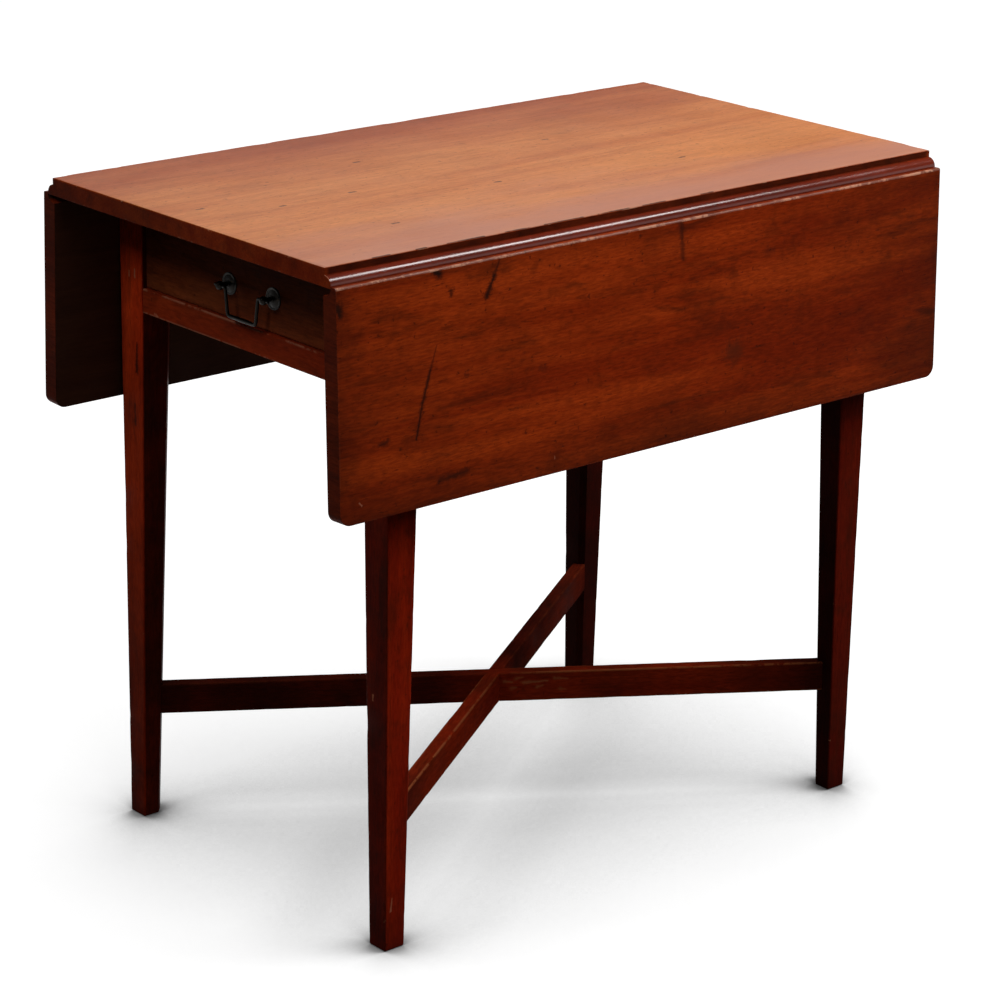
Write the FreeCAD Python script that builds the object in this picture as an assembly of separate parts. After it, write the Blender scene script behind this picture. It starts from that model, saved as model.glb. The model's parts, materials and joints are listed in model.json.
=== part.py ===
import FreeCAD
import Part
import math
import os

V = FreeCAD.Vector
UP = V(0, 0, 1)
DOWN = V(0, 0, -1)
ALONG_X = V(1, 0, 0)
ALONG_Y = V(0, 1, 0)
FRONT = V(0, -1, 0)

# Overall sizes of the table, leaves hanging: X across, Y along, Z up from the floor
table_height = 718.0
top_length = 818.0
top_width = 446.0
end_overhang = 78.0

# Rule joint between the top and a leaf
fillet_height = 7.4
rule_radius = 9.4
hinge_cover = 2.2
rule_gap = 0.6
board_arris = 1.0
lip_round = 2.2

# Leaf
leaf_reach = 229.5
leaf_lean_deg = 2.0
leaf_corner_radius = 12.0
leaf_arris = 1.4

# Legs
leg_size = 39.0
foot_size = 24.8
leg_arris = 1.2
leg_inner_flat = 6.0
leg_flat_run_out = 12.0
foot_chamfer = 2.0

# Apron rails
apron_height = 127.0
lower_rail_height = 26.0
upper_rail_height = 20.0
front_rail_depth = 46.0
front_rail_set_back = 1.0
side_rail_thickness = 16.0
back_rail_thickness = 20.0
back_rail_set_back = 2.0
rail_arris = 0.7
tenon_thickness = 7.0
front_tenon_length = 22.0
front_tenon_set_back = 8.0
tenon_spacing = 1.5
tenon_shoulder_share = 0.2

# Fly brackets and the fly rails that carry them
fly_thickness = 15.0
fly_reach = 200.0
fly_tip_height = 46.0
fly_root_length = 64.0
fly_gap = 0.35
fly_top_gap = 0.5
fly_tip_gap = 1.5
fly_pin_radius = 2.5
fly_finger_count = 5

# Crossed stretchers
stretcher_height = 33.5
stretcher_floor_gap = 117.0
stretcher_thickness = 15.0
stretcher_tenon_thickness = 7.0
stretcher_shoulder_share = 0.15
stretcher_arris = 1.2

# Drawer carcass
runner_width = 18.0
runner_height = 16.0
stop_width = 30.0
stop_depth = 12.0
stop_height = 6.0
stop_spacing = 220.0
block_width = 50.0
block_size = 18.0
block_spacing = 110.0
block_count = 3

# Drawer
drawer_set_back = 5.0
drawer_side_gap = 1.6
drawer_top_gap = 2.0
drawer_bottom_gap = 1.0
drawer_front_thickness = 20.0
drawer_front_arris = 0.8
drawer_back_gap = 115.0
drawer_side_thickness = 10.0
drawer_side_drop = 4.0
drawer_back_thickness = 10.0
drawer_bottom_thickness = 7.0
drawer_bottom_lift = 9.0
drawer_groove_depth = 5.0
dovetail_depth = 12.0
dovetail_count = 3
dovetail_slope_share = 0.16
dovetail_width_share = 0.62
drawer_nail_radius = 1.2
drawer_nail_length = 22.0
drawer_nail_count = 3

# Drawer pull
pull_drop = 43.0
post_spacing = 72.0
post_reach = 12.5
post_radius = 2.6
post_ball_radius = 4.6
rosette_radius = 11.5
rosette_rim = 1.2
rosette_dome = 3.2
nut_radius = 6.0
nut_height = 3.5
nut_sides = 6
bail_radius = 2.0
bail_pin_radius = 1.6
bail_pin_length = 12.5
bail_eye_run = 0.75
bail_grip_spacing = 46.0
bail_drop = 28.0
bail_shoulder_bend = 3.6
bail_grip_bend = 8.0

# Rule hinges: short plate under the top, long plate under the leaf
hinge_width = 38.0
hinge_short_plate = 27.0
hinge_long_plate = 44.0
hinge_plate_thickness = 1.8
hinge_knuckle_radius = 3.4
hinge_knuckle_count = 3
hinge_pin_radius = 1.5
hinge_spacing = 250.0
hinge_count = 3
hinge_room = 0.4

# Screws
screw_head_radius = 3.2
screw_head_height = 1.6
screw_radius = 1.8
hinge_screw_length = 11.0
hinge_screw_inset = 8.0
top_screw_length = 31.0
top_screw_spacing = 190.0
top_screw_count = 3

# Fits
running_gap = 0.05
seat_gap = 0.02
cut_overrun = 5.0
straight_deg = 1.0

# Levels and faces worked out from the sizes above
board_thickness = fillet_height + rule_radius + hinge_cover
underside = table_height - board_thickness
hinge_depth = fillet_height + rule_radius
hinge_x = top_width / 2
hinge_z = table_height - hinge_depth
leg_x = hinge_x - hinge_cover
leg_y = top_length / 2 - end_overhang
apron_bottom = underside - apron_height
opening_bottom = apron_bottom + lower_rail_height
opening_top = underside - upper_rail_height
leg_inner_x = leg_x - leg_size
leg_inner_y = leg_y - leg_size
side_rail_outer = leg_inner_x + side_rail_thickness
fly_outer = side_rail_outer + fly_thickness
back_rail_outer = leg_y - back_rail_set_back
back_rail_inner = back_rail_outer - back_rail_thickness
front_rail_face = front_rail_set_back - leg_y
front_rail_back = front_rail_face + front_rail_depth


def box(x, y, z):
    """A block between two values along each axis."""
    size = [pair[1] - pair[0] for pair in (x, y, z)]
    return Part.makeBox(size[0], size[1], size[2], V(x[0], y[0], z[0]))


def rod(radius, start, direction, length):
    """A round bar from a point along a direction."""
    return Part.makeCylinder(radius, length, start, direction)


def join(first, *others):
    """One solid out of pieces that meet."""
    return first.fuse(list(others)).removeSplitter() if others else first


def cut(shape, *tools):
    """A solid with every tool taken out of it."""
    return shape.cut(list(tools)) if tools else shape


def group(solids):
    """Separate solids kept as one node."""
    return Part.makeCompound(list(solids))


def other_side(shape):
    """The same piece on the left of the table."""
    return shape.mirror(V(0, 0, 0), ALONG_X)


def other_end(shape):
    """The same piece at the front of the table."""
    return shape.mirror(V(0, 0, 0), ALONG_Y)


def spread(count, spacing):
    """Evenly spaced places about zero."""
    return [(i - (count - 1) / 2) * spacing for i in range(count)]


def edges_along(shape, direction, test):
    """Straight edges along a direction whose middle passes a test."""
    found = []
    for edge in shape.Edges:
        if len(edge.Vertexes) < 2:
            continue
        run = edge.Vertexes[1].Point - edge.Vertexes[0].Point
        straight = abs(run.Length - edge.Length) < running_gap
        lined_up = abs(run.normalize().dot(direction)) > math.cos(math.radians(straight_deg))
        if straight and lined_up and test(edge.CenterOfMass):
            found.append(edge)
    return found


def countersunk(place, direction, length, grow):
    """A wood screw with a conical head; grow makes the hole that it sits in."""
    head = Part.makeCone(screw_head_radius + grow, screw_radius + grow, screw_head_height, place, direction)
    shank = rod(screw_radius + grow, place, direction, length + grow)
    return join(head, shank)


# Legs: square to the bottom of the apron, then tapered on the two inner faces, with a flat planed
# on the inner corner
def rounded_square(size, inset, z):
    """A leg's section, its outer corner on the outer corner of the base."""
    low_x = leg_x - size + inset
    low_y = leg_y - size + inset
    high_x = leg_x - inset
    high_y = leg_y - inset
    r = leg_arris
    bend = r * (1 - math.sqrt(0.5))
    corners = [
        (low_x, low_y, 1, 1),
        (high_x, low_y, -1, 1),
        (high_x, high_y, -1, -1),
        (low_x, high_y, 1, -1),
    ]
    arcs = []
    for i, (x, y, sx, sy) in enumerate(corners):
        along_x = V(x + sx * r, y, z)
        along_y = V(x, y + sy * r, z)
        middle = V(x + sx * bend, y + sy * bend, z)
        start, end = (along_y, along_x) if i % 2 == 0 else (along_x, along_y)
        arcs.append((start, middle, end))
    edges = []
    for i, (start, middle, end) in enumerate(arcs):
        edges.append(Part.Arc(start, middle, end).toShape())
        edges.append(Part.makeLine(end, arcs[(i + 1) % len(arcs)][0]))
    return Part.Wire(edges)


def leg_width(z):
    """Width of a leg at a height below the apron."""
    return foot_size + (leg_size - foot_size) * z / apron_bottom


def plain_leg():
    """The right back leg before its mortises are cut."""
    sections = [
        rounded_square(leg_width(0), foot_chamfer, 0),
        rounded_square(leg_width(foot_chamfer), 0, foot_chamfer),
        rounded_square(leg_size, 0, apron_bottom),
        rounded_square(leg_size, 0, underside),
    ]
    return Part.makeLoft(sections, True, True)


def corner_waste(depth, z):
    """The outline of the wood that goes when a flat is planed on a leg's inner corner."""
    low_x = leg_x - leg_width(z) - cut_overrun
    low_y = leg_y - leg_width(z) - cut_overrun
    reach = depth + 2 * cut_overrun
    return Part.makePolygon([V(low_x, low_y, z), V(low_x + reach, low_y, z), V(low_x, low_y + reach, z),
                             V(low_x, low_y, z)])


flat_waste = Part.makeLoft([
    corner_waste(leg_inner_flat, -cut_overrun),
    corner_waste(leg_inner_flat, apron_bottom - leg_flat_run_out),
    corner_waste(0, apron_bottom),
], True, True)
leg_back_right = cut(plain_leg(), flat_waste)
legs = {
    "leg_back_right": leg_back_right,
    "leg_back_left": other_side(leg_back_right),
    "leg_front_right": other_end(leg_back_right),
    "leg_front_left": other_side(other_end(leg_back_right)),
}


# Rails across the ends and along the sides, tenoned into the legs
def tenon_levels(low, high):
    """Bottom and top of a tenon inside a rail's height."""
    shoulder = (high - low) * tenon_shoulder_share
    return (low + shoulder, high - shoulder)


def cross_rail(y, z, tenon_y, tenon_length):
    """A rail from leg to leg across the table, and its two tenons."""
    body = box((-leg_inner_x, leg_inner_x), y, z)
    length = leg_inner_x + tenon_length
    half = tenon_thickness / 2
    tenon = box((-length, length), (tenon_y - half, tenon_y + half), tenon_levels(*z))
    return join(body, tenon), tenon


def softened_front(rail, y):
    """A rail with the two long edges of its front face eased."""
    edges = edges_along(rail, ALONG_X, lambda c: abs(c.y - y) < running_gap)
    return rail.makeFillet(rail_arris, edges)


tenon_y_front = front_tenon_set_back + tenon_thickness / 2 - leg_y
drawer_rail_lower, tenon_lower = cross_rail(
    (front_rail_face, front_rail_back), (apron_bottom, opening_bottom), tenon_y_front, front_tenon_length)
drawer_rail_upper, tenon_upper = cross_rail(
    (front_rail_face, front_rail_back), (opening_top, underside), tenon_y_front, front_tenon_length)
drawer_rail_lower = softened_front(drawer_rail_lower, front_rail_face)
drawer_rail_upper = softened_front(drawer_rail_upper, front_rail_face)
tenon_y_back = (back_rail_outer + back_rail_inner) / 2
back_rail, tenon_back = cross_rail(
    (back_rail_inner, back_rail_outer), (apron_bottom, underside), tenon_y_back, front_tenon_length)
back_rail = softened_front(back_rail, back_rail_outer)

tenon_edge_back = leg_y - tenon_y_back + tenon_thickness / 2
tenon_edge_front = leg_y + tenon_y_front + tenon_thickness / 2
side_tenon_end = leg_y - max(tenon_edge_back, tenon_edge_front) - tenon_spacing
side_rail_levels = (apron_bottom, underside)
side_rail_right = box((leg_inner_x, side_rail_outer), (-leg_inner_y, leg_inner_y), side_rail_levels)
side_tenon_x = (leg_inner_x + side_rail_outer) / 2
tenon_side = box((side_tenon_x - tenon_thickness / 2, side_tenon_x + tenon_thickness / 2),
                 (-side_tenon_end, side_tenon_end), tenon_levels(*side_rail_levels))
side_rail_right = join(side_rail_right, tenon_side)


# Stretchers: two bars on the diagonals, lapped where they cross
stretcher_levels = (stretcher_floor_gap, stretcher_floor_gap + stretcher_height)
stretcher_middle = stretcher_floor_gap + stretcher_height / 2
leg_centre_x = leg_x - leg_width(stretcher_middle) / 2
leg_centre_y = leg_y - leg_width(stretcher_middle) / 2
diagonal = math.hypot(leg_centre_x, leg_centre_y)
diagonal_deg = math.degrees(math.atan2(leg_centre_y, leg_centre_x))


def on_diagonal(shape, turn):
    """A bar made along X, swung on to a diagonal."""
    return shape.rotated(V(0, 0, 0), UP, turn)


def stretcher(turn):
    """A bar scribed to the inner corners of its two legs, and its tenons."""
    half = stretcher_thickness / 2
    bar = box((-diagonal, diagonal), (-half, half), stretcher_levels)
    bar = bar.makeFillet(stretcher_arris, edges_along(bar, ALONG_X, lambda c: True))
    shoulder = stretcher_height * stretcher_shoulder_share
    levels = (stretcher_levels[0] + shoulder, stretcher_levels[1] - shoulder)
    half_tenon = stretcher_tenon_thickness / 2
    tenon = box((-diagonal, diagonal), (-half_tenon, half_tenon), levels)
    bar = cut(on_diagonal(bar, turn), *legs.values())
    tenon = on_diagonal(tenon, turn)
    return join(bar, tenon), tenon


stretcher_over, tenon_over = stretcher(diagonal_deg)
stretcher_under, tenon_under = stretcher(-diagonal_deg)
crossing = stretcher_over.common(stretcher_under)
lap_reach = stretcher_thickness / math.sin(math.radians(2 * min(diagonal_deg, 90 - diagonal_deg)))
lap_span = (-lap_reach, lap_reach)
lap_low = box(lap_span, lap_span, (stretcher_levels[0] - cut_overrun, stretcher_middle))
stretcher_over = cut(stretcher_over, crossing.common(lap_low))
stretcher_under = cut(stretcher_under, crossing.cut(lap_low))

mortises = [tenon_lower, tenon_upper, tenon_back, tenon_side, other_side(tenon_side)]
mortises += [tenon_over, tenon_under]
legs = {name: cut(leg, *mortises) for name, leg in legs.items()}


# Fly bracket: a swinging arm on a wooden knuckle joint in the outer side rail
fly_pin_x = side_rail_outer + fly_thickness / 2
fly_pin_y = -fly_reach / 2
fly_knuckle_radius = fly_thickness / 2
finger_height = apron_height / fly_finger_count
fly_place = V(fly_pin_x, fly_pin_y, apron_bottom)


def finger(index, radius, grow):
    """One round finger of the knuckle joint, grown a little when it is used as a cut."""
    start = fly_place + UP * (index * finger_height - grow)
    return rod(radius, start, UP, finger_height + 2 * grow)


def knuckle_end(body, away, own, others, pin_gap):
    """A bevelled shoulder with its own fingers, cleared for the other piece's fingers and the pin."""
    reach = fly_knuckle_radius + cut_overrun
    corner = V(fly_pin_x - fly_gap, fly_pin_y, apron_bottom)
    outline = [corner, corner + ALONG_X * reach, corner + V(reach, away * reach, 0), corner]
    body = cut(body, Part.Face(Part.makePolygon(outline)).extrude(UP * apron_height))
    fingers = [finger(i, fly_knuckle_radius, 0) for i in own]
    slots = [finger(i, fly_knuckle_radius + fly_gap, fly_gap / 2) for i in others]
    bore_start = fly_place - UP * cut_overrun
    bore = rod(fly_pin_radius + pin_gap, bore_start, UP, apron_height + 2 * cut_overrun)
    return cut(join(body, *fingers), bore, *slots)


fixed_fingers = range(0, fly_finger_count, 2)
loose_fingers = range(1, fly_finger_count, 2)
fly_levels = (apron_bottom, underside)
fly_rail = box((side_rail_outer, fly_outer), (-leg_inner_y, fly_pin_y), fly_levels)
fly_rail_hinge_right = knuckle_end(fly_rail, -1, fixed_fingers, loose_fingers, seat_gap)
fly_tip = fly_pin_y + fly_reach
fly_stop_y = (fly_tip + fly_tip_gap, leg_inner_y)
fly_rail_stop_right = box((side_rail_outer, fly_outer), fly_stop_y, fly_levels)


def bracket_outline():
    """Side view of the fly bracket: level on top, an ogee under its free end."""
    x = side_rail_outer + fly_gap
    top = underside - fly_top_gap
    tip_low = top - fly_tip_height
    root = fly_pin_y + fly_root_length
    middle_y = (root + fly_tip) / 2
    middle_z = (apron_bottom + tip_low) / 2
    rise = tip_low - apron_bottom
    lower = Part.BezierCurve()
    lower.setPoles([V(x, root, apron_bottom), V(x, middle_y, apron_bottom), V(x, middle_y, middle_z)])
    upper = Part.BezierCurve()
    upper.setPoles([V(x, middle_y, middle_z), V(x, middle_y, middle_z + rise / 2), V(x, fly_tip, tip_low)])
    return Part.Wire([
        Part.makeLine(V(x, fly_pin_y, top), V(x, fly_pin_y, apron_bottom)),
        Part.makeLine(V(x, fly_pin_y, apron_bottom), V(x, root, apron_bottom)),
        lower.toShape(),
        upper.toShape(),
        Part.makeLine(V(x, fly_tip, tip_low), V(x, fly_tip, top)),
        Part.makeLine(V(x, fly_tip, top), V(x, fly_pin_y, top)),
    ])


fly_bracket_right = Part.Face(bracket_outline()).extrude(V(fly_thickness - fly_gap, 0, 0))
fly_bracket_right = knuckle_end(fly_bracket_right, 1, loose_fingers, fixed_fingers, running_gap)
fly_relief = box((side_rail_outer, side_rail_outer + fly_gap),
                 (fly_pin_y - fly_thickness, fly_pin_y + fly_thickness), fly_levels)
fly_bracket_right = cut(fly_bracket_right, fly_relief)
fly_pin_right = rod(fly_pin_radius, fly_place, UP, apron_height - fly_top_gap)


# Top board: fillets and ovolos along both long edges
def top_profile():
    """End view of the top board, drawn at its back end."""
    y = top_length / 2
    bend = rule_radius * math.sqrt(0.5)
    edges = []
    for side in (1, -1):
        fillet_top = V(side * hinge_x, y, table_height)
        fillet_foot = V(side * hinge_x, y, hinge_z + rule_radius)
        ovolo_middle = V(side * (hinge_x + bend), y, hinge_z + bend)
        ovolo_foot = V(side * (hinge_x + rule_radius), y, hinge_z)
        low = V(side * (hinge_x + rule_radius), y, underside)
        edges.append(Part.makeLine(fillet_top, fillet_foot))
        edges.append(Part.Arc(fillet_foot, ovolo_middle, ovolo_foot).toShape())
        edges.append(Part.makeLine(ovolo_foot, low))
    edges.append(Part.makeLine(V(-hinge_x, y, table_height), V(hinge_x, y, table_height)))
    reach = hinge_x + rule_radius
    edges.append(Part.makeLine(V(-reach, y, underside), V(reach, y, underside)))
    return Part.Wire(Part.__sortEdges__(edges))


top_board = Part.Face(top_profile()).extrude(V(0, -top_length, 0))
top_rim = edges_along(top_board, ALONG_Y, lambda c: abs(c.z - table_height) < running_gap)
top_rim += edges_along(top_board, ALONG_X, lambda c: abs(c.z - table_height) < running_gap)
top_board = top_board.makeFillet(board_arris, top_rim)


# Leaf: drawn level with the top, then hung down about its hinge line
def leaf_profile():
    """End view of the right leaf when it is raised: a lip and a cove round the hinge line."""
    y = top_length / 2
    cove = rule_radius + rule_gap
    cove_top = math.sqrt(cove ** 2 - rule_gap ** 2)
    bend = cove * math.sqrt(0.5)
    lip_top = V(hinge_x + rule_gap, y, table_height)
    lip_foot = V(hinge_x + rule_gap, y, hinge_z + cove_top)
    cove_middle = V(hinge_x + bend, y, hinge_z + bend)
    cove_foot = V(hinge_x + cove, y, hinge_z)
    low_inner = V(hinge_x + cove, y, underside)
    low_outer = V(hinge_x + leaf_reach, y, underside)
    high_outer = V(hinge_x + leaf_reach, y, table_height)
    return Part.Wire([
        Part.makeLine(lip_top, lip_foot),
        Part.Arc(lip_foot, cove_middle, cove_foot).toShape(),
        Part.makeLine(cove_foot, low_inner),
        Part.makeLine(low_inner, low_outer),
        Part.makeLine(low_outer, high_outer),
        Part.makeLine(high_outer, lip_top),
    ])


leaf_right = Part.Face(leaf_profile()).extrude(V(0, -top_length, 0))
outer_corners = edges_along(leaf_right, UP, lambda c: c.x > hinge_x + leaf_reach - running_gap)
leaf_right = leaf_right.makeFillet(leaf_corner_radius, outer_corners)
leaf_far = [edge for edge in leaf_right.Edges
            if edge.CenterOfMass.x > hinge_x + leaf_reach - leaf_corner_radius
            and abs(edge.CenterOfMass.z - (table_height + underside) / 2) > board_thickness / 2 - running_gap]
leaf_sides = edges_along(leaf_right, ALONG_X, lambda c: abs(c.y) > top_length / 2 - running_gap
                         and c.x > hinge_x + rule_radius + leaf_corner_radius)
leaf_right = leaf_right.makeFillet(leaf_arris, leaf_far + leaf_sides)
lip_edge = edges_along(leaf_right, ALONG_Y, lambda c: c.x < hinge_x + rule_radius
                       and c.z > table_height - running_gap)
leaf_right = leaf_right.makeFillet(lip_round, lip_edge)


# Rule hinges: drawn open, with the leaf level
hinge_places = spread(hinge_count, hinge_spacing)
plate_levels = (underside, underside + hinge_plate_thickness)
knuckle_width = hinge_width / hinge_knuckle_count


def hinge_axis(y):
    """Point on the right hinge line."""
    return V(hinge_x, y, hinge_z)


def knuckle(y, radius, grow):
    """One knuckle of a hinge's barrel, starting at y."""
    return rod(radius, hinge_axis(y - grow), ALONG_Y, knuckle_width + 2 * grow)


def barrel_bore(low, gap):
    """The hole for a hinge's pin, right through its barrel."""
    start = hinge_axis(low - cut_overrun)
    return rod(hinge_pin_radius + gap, start, ALONG_Y, hinge_width + 2 * cut_overrun)


def hinge_top_plate(y):
    """The short plate with the two outer knuckles of the barrel."""
    low = y - hinge_width / 2
    plate = box((hinge_x - hinge_short_plate, hinge_x), (low, low + hinge_width), plate_levels)
    barrel = [knuckle(low + i * knuckle_width, hinge_knuckle_radius, 0) for i in (0, 2)]
    room = knuckle(low + knuckle_width, hinge_knuckle_radius + hinge_room, running_gap)
    return cut(join(cut(plate, room), *barrel), barrel_bore(low, seat_gap))


def hinge_leaf_plate(y):
    """The long plate with the middle knuckle of the barrel."""
    low = y - hinge_width / 2
    plate = box((hinge_x, hinge_x + hinge_long_plate), (low, low + hinge_width), plate_levels)
    middle = knuckle(low + knuckle_width, hinge_knuckle_radius, -running_gap)
    room_radius = hinge_knuckle_radius + hinge_room
    room = [knuckle(low + i * knuckle_width, room_radius, running_gap) for i in (0, 2)]
    return cut(join(cut(plate, *room), middle), barrel_bore(low, running_gap))


def hinge_pocket(y):
    """What a hinge needs cut out of the underside of the top."""
    low = y - hinge_width / 2
    high = low + hinge_width
    plate = box((hinge_x - hinge_short_plate, hinge_x), (low, high), plate_levels)
    wide = (low - hinge_room, high + hinge_room)
    barrel = rod(hinge_knuckle_radius + hinge_room, hinge_axis(wide[0]), ALONG_Y, wide[1] - wide[0])
    swing = box((hinge_x, hinge_x + rule_radius + cut_overrun), wide, (underside, hinge_z))
    return [plate, barrel, swing]


def hinge_screw_places(y, inner, outer):
    """Three screws in a plate: two near its free end and one nearer the barrel."""
    reach = outer - inner
    spread_y = hinge_width / 2 - hinge_screw_inset
    near = inner + reach / 2
    far = outer - math.copysign(hinge_screw_inset, reach)
    return [V(far, y - spread_y, underside), V(far, y + spread_y, underside), V(near, y, underside)]


top_plate_x = (hinge_x - hinge_knuckle_radius, hinge_x - hinge_short_plate)
leaf_plate_x = (hinge_x + rule_radius, hinge_x + hinge_long_plate)
top_screw_holes = [place for y in hinge_places for place in hinge_screw_places(y, *top_plate_x)]
leaf_screw_holes = [place for y in hinge_places for place in hinge_screw_places(y, *leaf_plate_x)]


def hinge_screws(places, grow):
    """Every screw of a row of plates."""
    return [countersunk(place, UP, hinge_screw_length, grow) for place in places]


top_screw_tools = hinge_screws(top_screw_holes, seat_gap)
leaf_screw_tools = hinge_screws(leaf_screw_holes, seat_gap)
top_plates = [cut(hinge_top_plate(y), *top_screw_tools) for y in hinge_places]
leaf_plates = [cut(hinge_leaf_plate(y), *leaf_screw_tools) for y in hinge_places]
hinge_starts = [y - hinge_width / 2 for y in hinge_places]
hinge_pins = [rod(hinge_pin_radius, hinge_axis(y), ALONG_Y, hinge_width) for y in hinge_starts]
plate_seats = [box((hinge_x, hinge_x + hinge_long_plate), (y, y + hinge_width), plate_levels)
               for y in hinge_starts]
leaf_right = cut(leaf_right, *plate_seats, *leaf_screw_tools)
pockets = [tool for y in hinge_places for tool in hinge_pocket(y)]
pockets += top_screw_tools
top_board = cut(top_board, *pockets, *[other_side(tool) for tool in pockets])


def hung(shape):
    """The leaf's pieces turned down from level to where they hang."""
    return shape.rotated(hinge_axis(0), ALONG_Y, 90 - leaf_lean_deg)


leaf_right = hung(leaf_right)
hinge_leaf_plates_right = hung(group(leaf_plates))
hinge_leaf_screws_right = hung(group(hinge_screws(leaf_screw_holes, 0)))
hinge_top_plates_right = group(top_plates)
hinge_top_screws_right = group(hinge_screws(top_screw_holes, 0))
hinge_pins_right = group(hinge_pins)


# Drawer carcass: runners under the drawer, kickers over it, stops behind its front
runner_x = (leg_inner_x - runner_width, leg_inner_x)
runner_y = (front_rail_back, back_rail_inner)
drawer_runner_right = box(runner_x, runner_y, (opening_bottom - runner_height, opening_bottom))
drawer_kicker_right = box(runner_x, runner_y, (opening_top, underside))
drawer_face = drawer_set_back - leg_y
drawer_front_back = drawer_face + drawer_front_thickness
stop_y = (drawer_front_back, drawer_front_back + stop_depth)
stop_levels = (opening_bottom, opening_bottom + stop_height)
drawer_stops = [box((x - stop_width / 2, x + stop_width / 2), stop_y, stop_levels)
                for x in spread(2, stop_spacing)]


def glue_block(x):
    """A three-cornered block rubbed into the angle of the back rail and the top."""
    corner = V(x - block_width / 2, back_rail_inner, underside)
    ends = [corner, corner + FRONT * block_size, corner + DOWN * block_size, corner]
    return Part.Face(Part.makePolygon(ends)).extrude(V(block_width, 0, 0))


glue_blocks = [glue_block(x) for x in spread(block_count, block_spacing)]
kicker_screw_x = (runner_x[0] + runner_x[1]) / 2
top_screw_places = [V(side * kicker_screw_x, y, opening_top)
                    for side in (1, -1) for y in spread(top_screw_count, top_screw_spacing)]
top_screws = [countersunk(place, UP, top_screw_length, 0) for place in top_screw_places]
kicker_holes = [countersunk(place, UP, top_screw_length, seat_gap) for place in top_screw_places]
top_board = cut(top_board, *kicker_holes)
drawer_kicker_left = cut(other_side(drawer_kicker_right), *kicker_holes)
drawer_kicker_right = cut(drawer_kicker_right, *kicker_holes)


# Drawer: front with lapped dovetails, sides, back and a grooved bottom
drawer_x = leg_inner_x - drawer_side_gap
drawer_inner_x = drawer_x - drawer_side_thickness
drawer_end = back_rail_inner - drawer_back_gap
front_levels = (opening_bottom + drawer_bottom_gap, opening_top - drawer_top_gap)
side_levels = (opening_bottom, front_levels[1] - drawer_side_drop)
drawer_floor = opening_bottom + drawer_bottom_lift
bottom_levels = (drawer_floor, drawer_floor + drawer_bottom_thickness)
side_start = drawer_front_back
back_start = drawer_end - drawer_back_thickness


def tails(y_root, y_tip, low, high):
    """Dovetail tails on the end of the right drawer side, wider at the tip than at the root."""
    pitch = (high - low) / dovetail_count
    half = pitch * dovetail_width_share / 2
    flare = abs(y_tip - y_root) * dovetail_slope_share
    made = []
    for i in range(dovetail_count):
        middle = low + (i + 0.5) * pitch
        corners = [(y_root, middle - half + flare), (y_tip, middle - half), (y_tip, middle + half),
                   (y_root, middle + half - flare)]
        points = [V(drawer_inner_x, y, z) for y, z in corners]
        outline = Part.makePolygon(points + points[:1])
        made.append(Part.Face(outline).extrude(ALONG_X * drawer_side_thickness))
    return made


tail_low = bottom_levels[1]
front_tails = tails(side_start, side_start - dovetail_depth, tail_low, side_levels[1])
back_tails = tails(back_start, drawer_end, tail_low, side_levels[1])
drawer_side_right = join(box((drawer_inner_x, drawer_x), (side_start, back_start), side_levels),
                         *front_tails, *back_tails)
bottom_reach = drawer_inner_x + drawer_groove_depth
bottom_y = (side_start - drawer_groove_depth, drawer_end)
drawer_bottom = box((-bottom_reach, bottom_reach), bottom_y, bottom_levels)
drawer_side_right = cut(drawer_side_right, drawer_bottom)
drawer_side_left = other_side(drawer_side_right)
drawer_front = box((-drawer_x, drawer_x), (drawer_face, drawer_front_back), front_levels)
front_rim = [edge for edge in drawer_front.Edges
             if abs(edge.CenterOfMass.y - drawer_face) < running_gap]
drawer_front = drawer_front.makeFillet(drawer_front_arris, front_rim)
drawer_front = cut(drawer_front, drawer_bottom, drawer_side_left, drawer_side_right)
drawer_back = box((-drawer_x, drawer_x), (back_start, drawer_end), (bottom_levels[1], side_levels[1]))
drawer_back = cut(drawer_back, drawer_side_left, drawer_side_right)


def drawer_nail(x, grow):
    """A nail up through the bottom into the drawer back."""
    start = V(x, (back_start + drawer_end) / 2, bottom_levels[0])
    return rod(drawer_nail_radius + grow, start, UP, drawer_nail_length + grow)


nail_places = spread(drawer_nail_count, 2 * drawer_inner_x / drawer_nail_count)
drawer_bottom_nails = [drawer_nail(x, 0) for x in nail_places]
nail_holes = [drawer_nail(x, seat_gap) for x in nail_places]
drawer_bottom = cut(drawer_bottom, *nail_holes)
drawer_back = cut(drawer_back, *nail_holes)


# Drawer pull: two rosettes, two posts with balls, nuts inside, and a swinging bail
pull_z = front_levels[1] - pull_drop
pull_y = drawer_face - post_reach
post_places = [side * post_spacing / 2 for side in (-1, 1)]


def rosette(x):
    """A round plate with a low dome, threaded on its post."""
    centre = V(x, drawer_face, pull_z)
    rim = rod(rosette_radius, centre, FRONT, rosette_rim)
    rise = rosette_dome - rosette_rim
    foot = rosette_radius - rosette_rim
    sphere_radius = (foot ** 2 + rise ** 2) / (2 * rise)
    ball = Part.makeSphere(sphere_radius, centre - FRONT * (sphere_radius - rosette_dome))
    slab = rod(foot, centre + FRONT * rosette_rim, FRONT, rosette_dome)
    dome = ball.common(slab)
    bore_start = centre - FRONT * cut_overrun
    bore = rod(post_radius + seat_gap, bore_start, FRONT, rosette_dome + 2 * cut_overrun)
    return cut(join(rim, dome), bore)


def post(x):
    """A post with a ball for the bail, through the drawer front to its nut."""
    inside = drawer_front_back + nut_height
    shank = rod(post_radius, V(x, inside, pull_z), FRONT, inside - pull_y)
    ball = Part.makeSphere(post_ball_radius, V(x, pull_y, pull_z))
    eye_reach = post_ball_radius + cut_overrun
    eye = rod(bail_pin_radius + running_gap, V(x - eye_reach, pull_y, pull_z), ALONG_X, 2 * eye_reach)
    return cut(join(shank, ball), eye)


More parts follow.
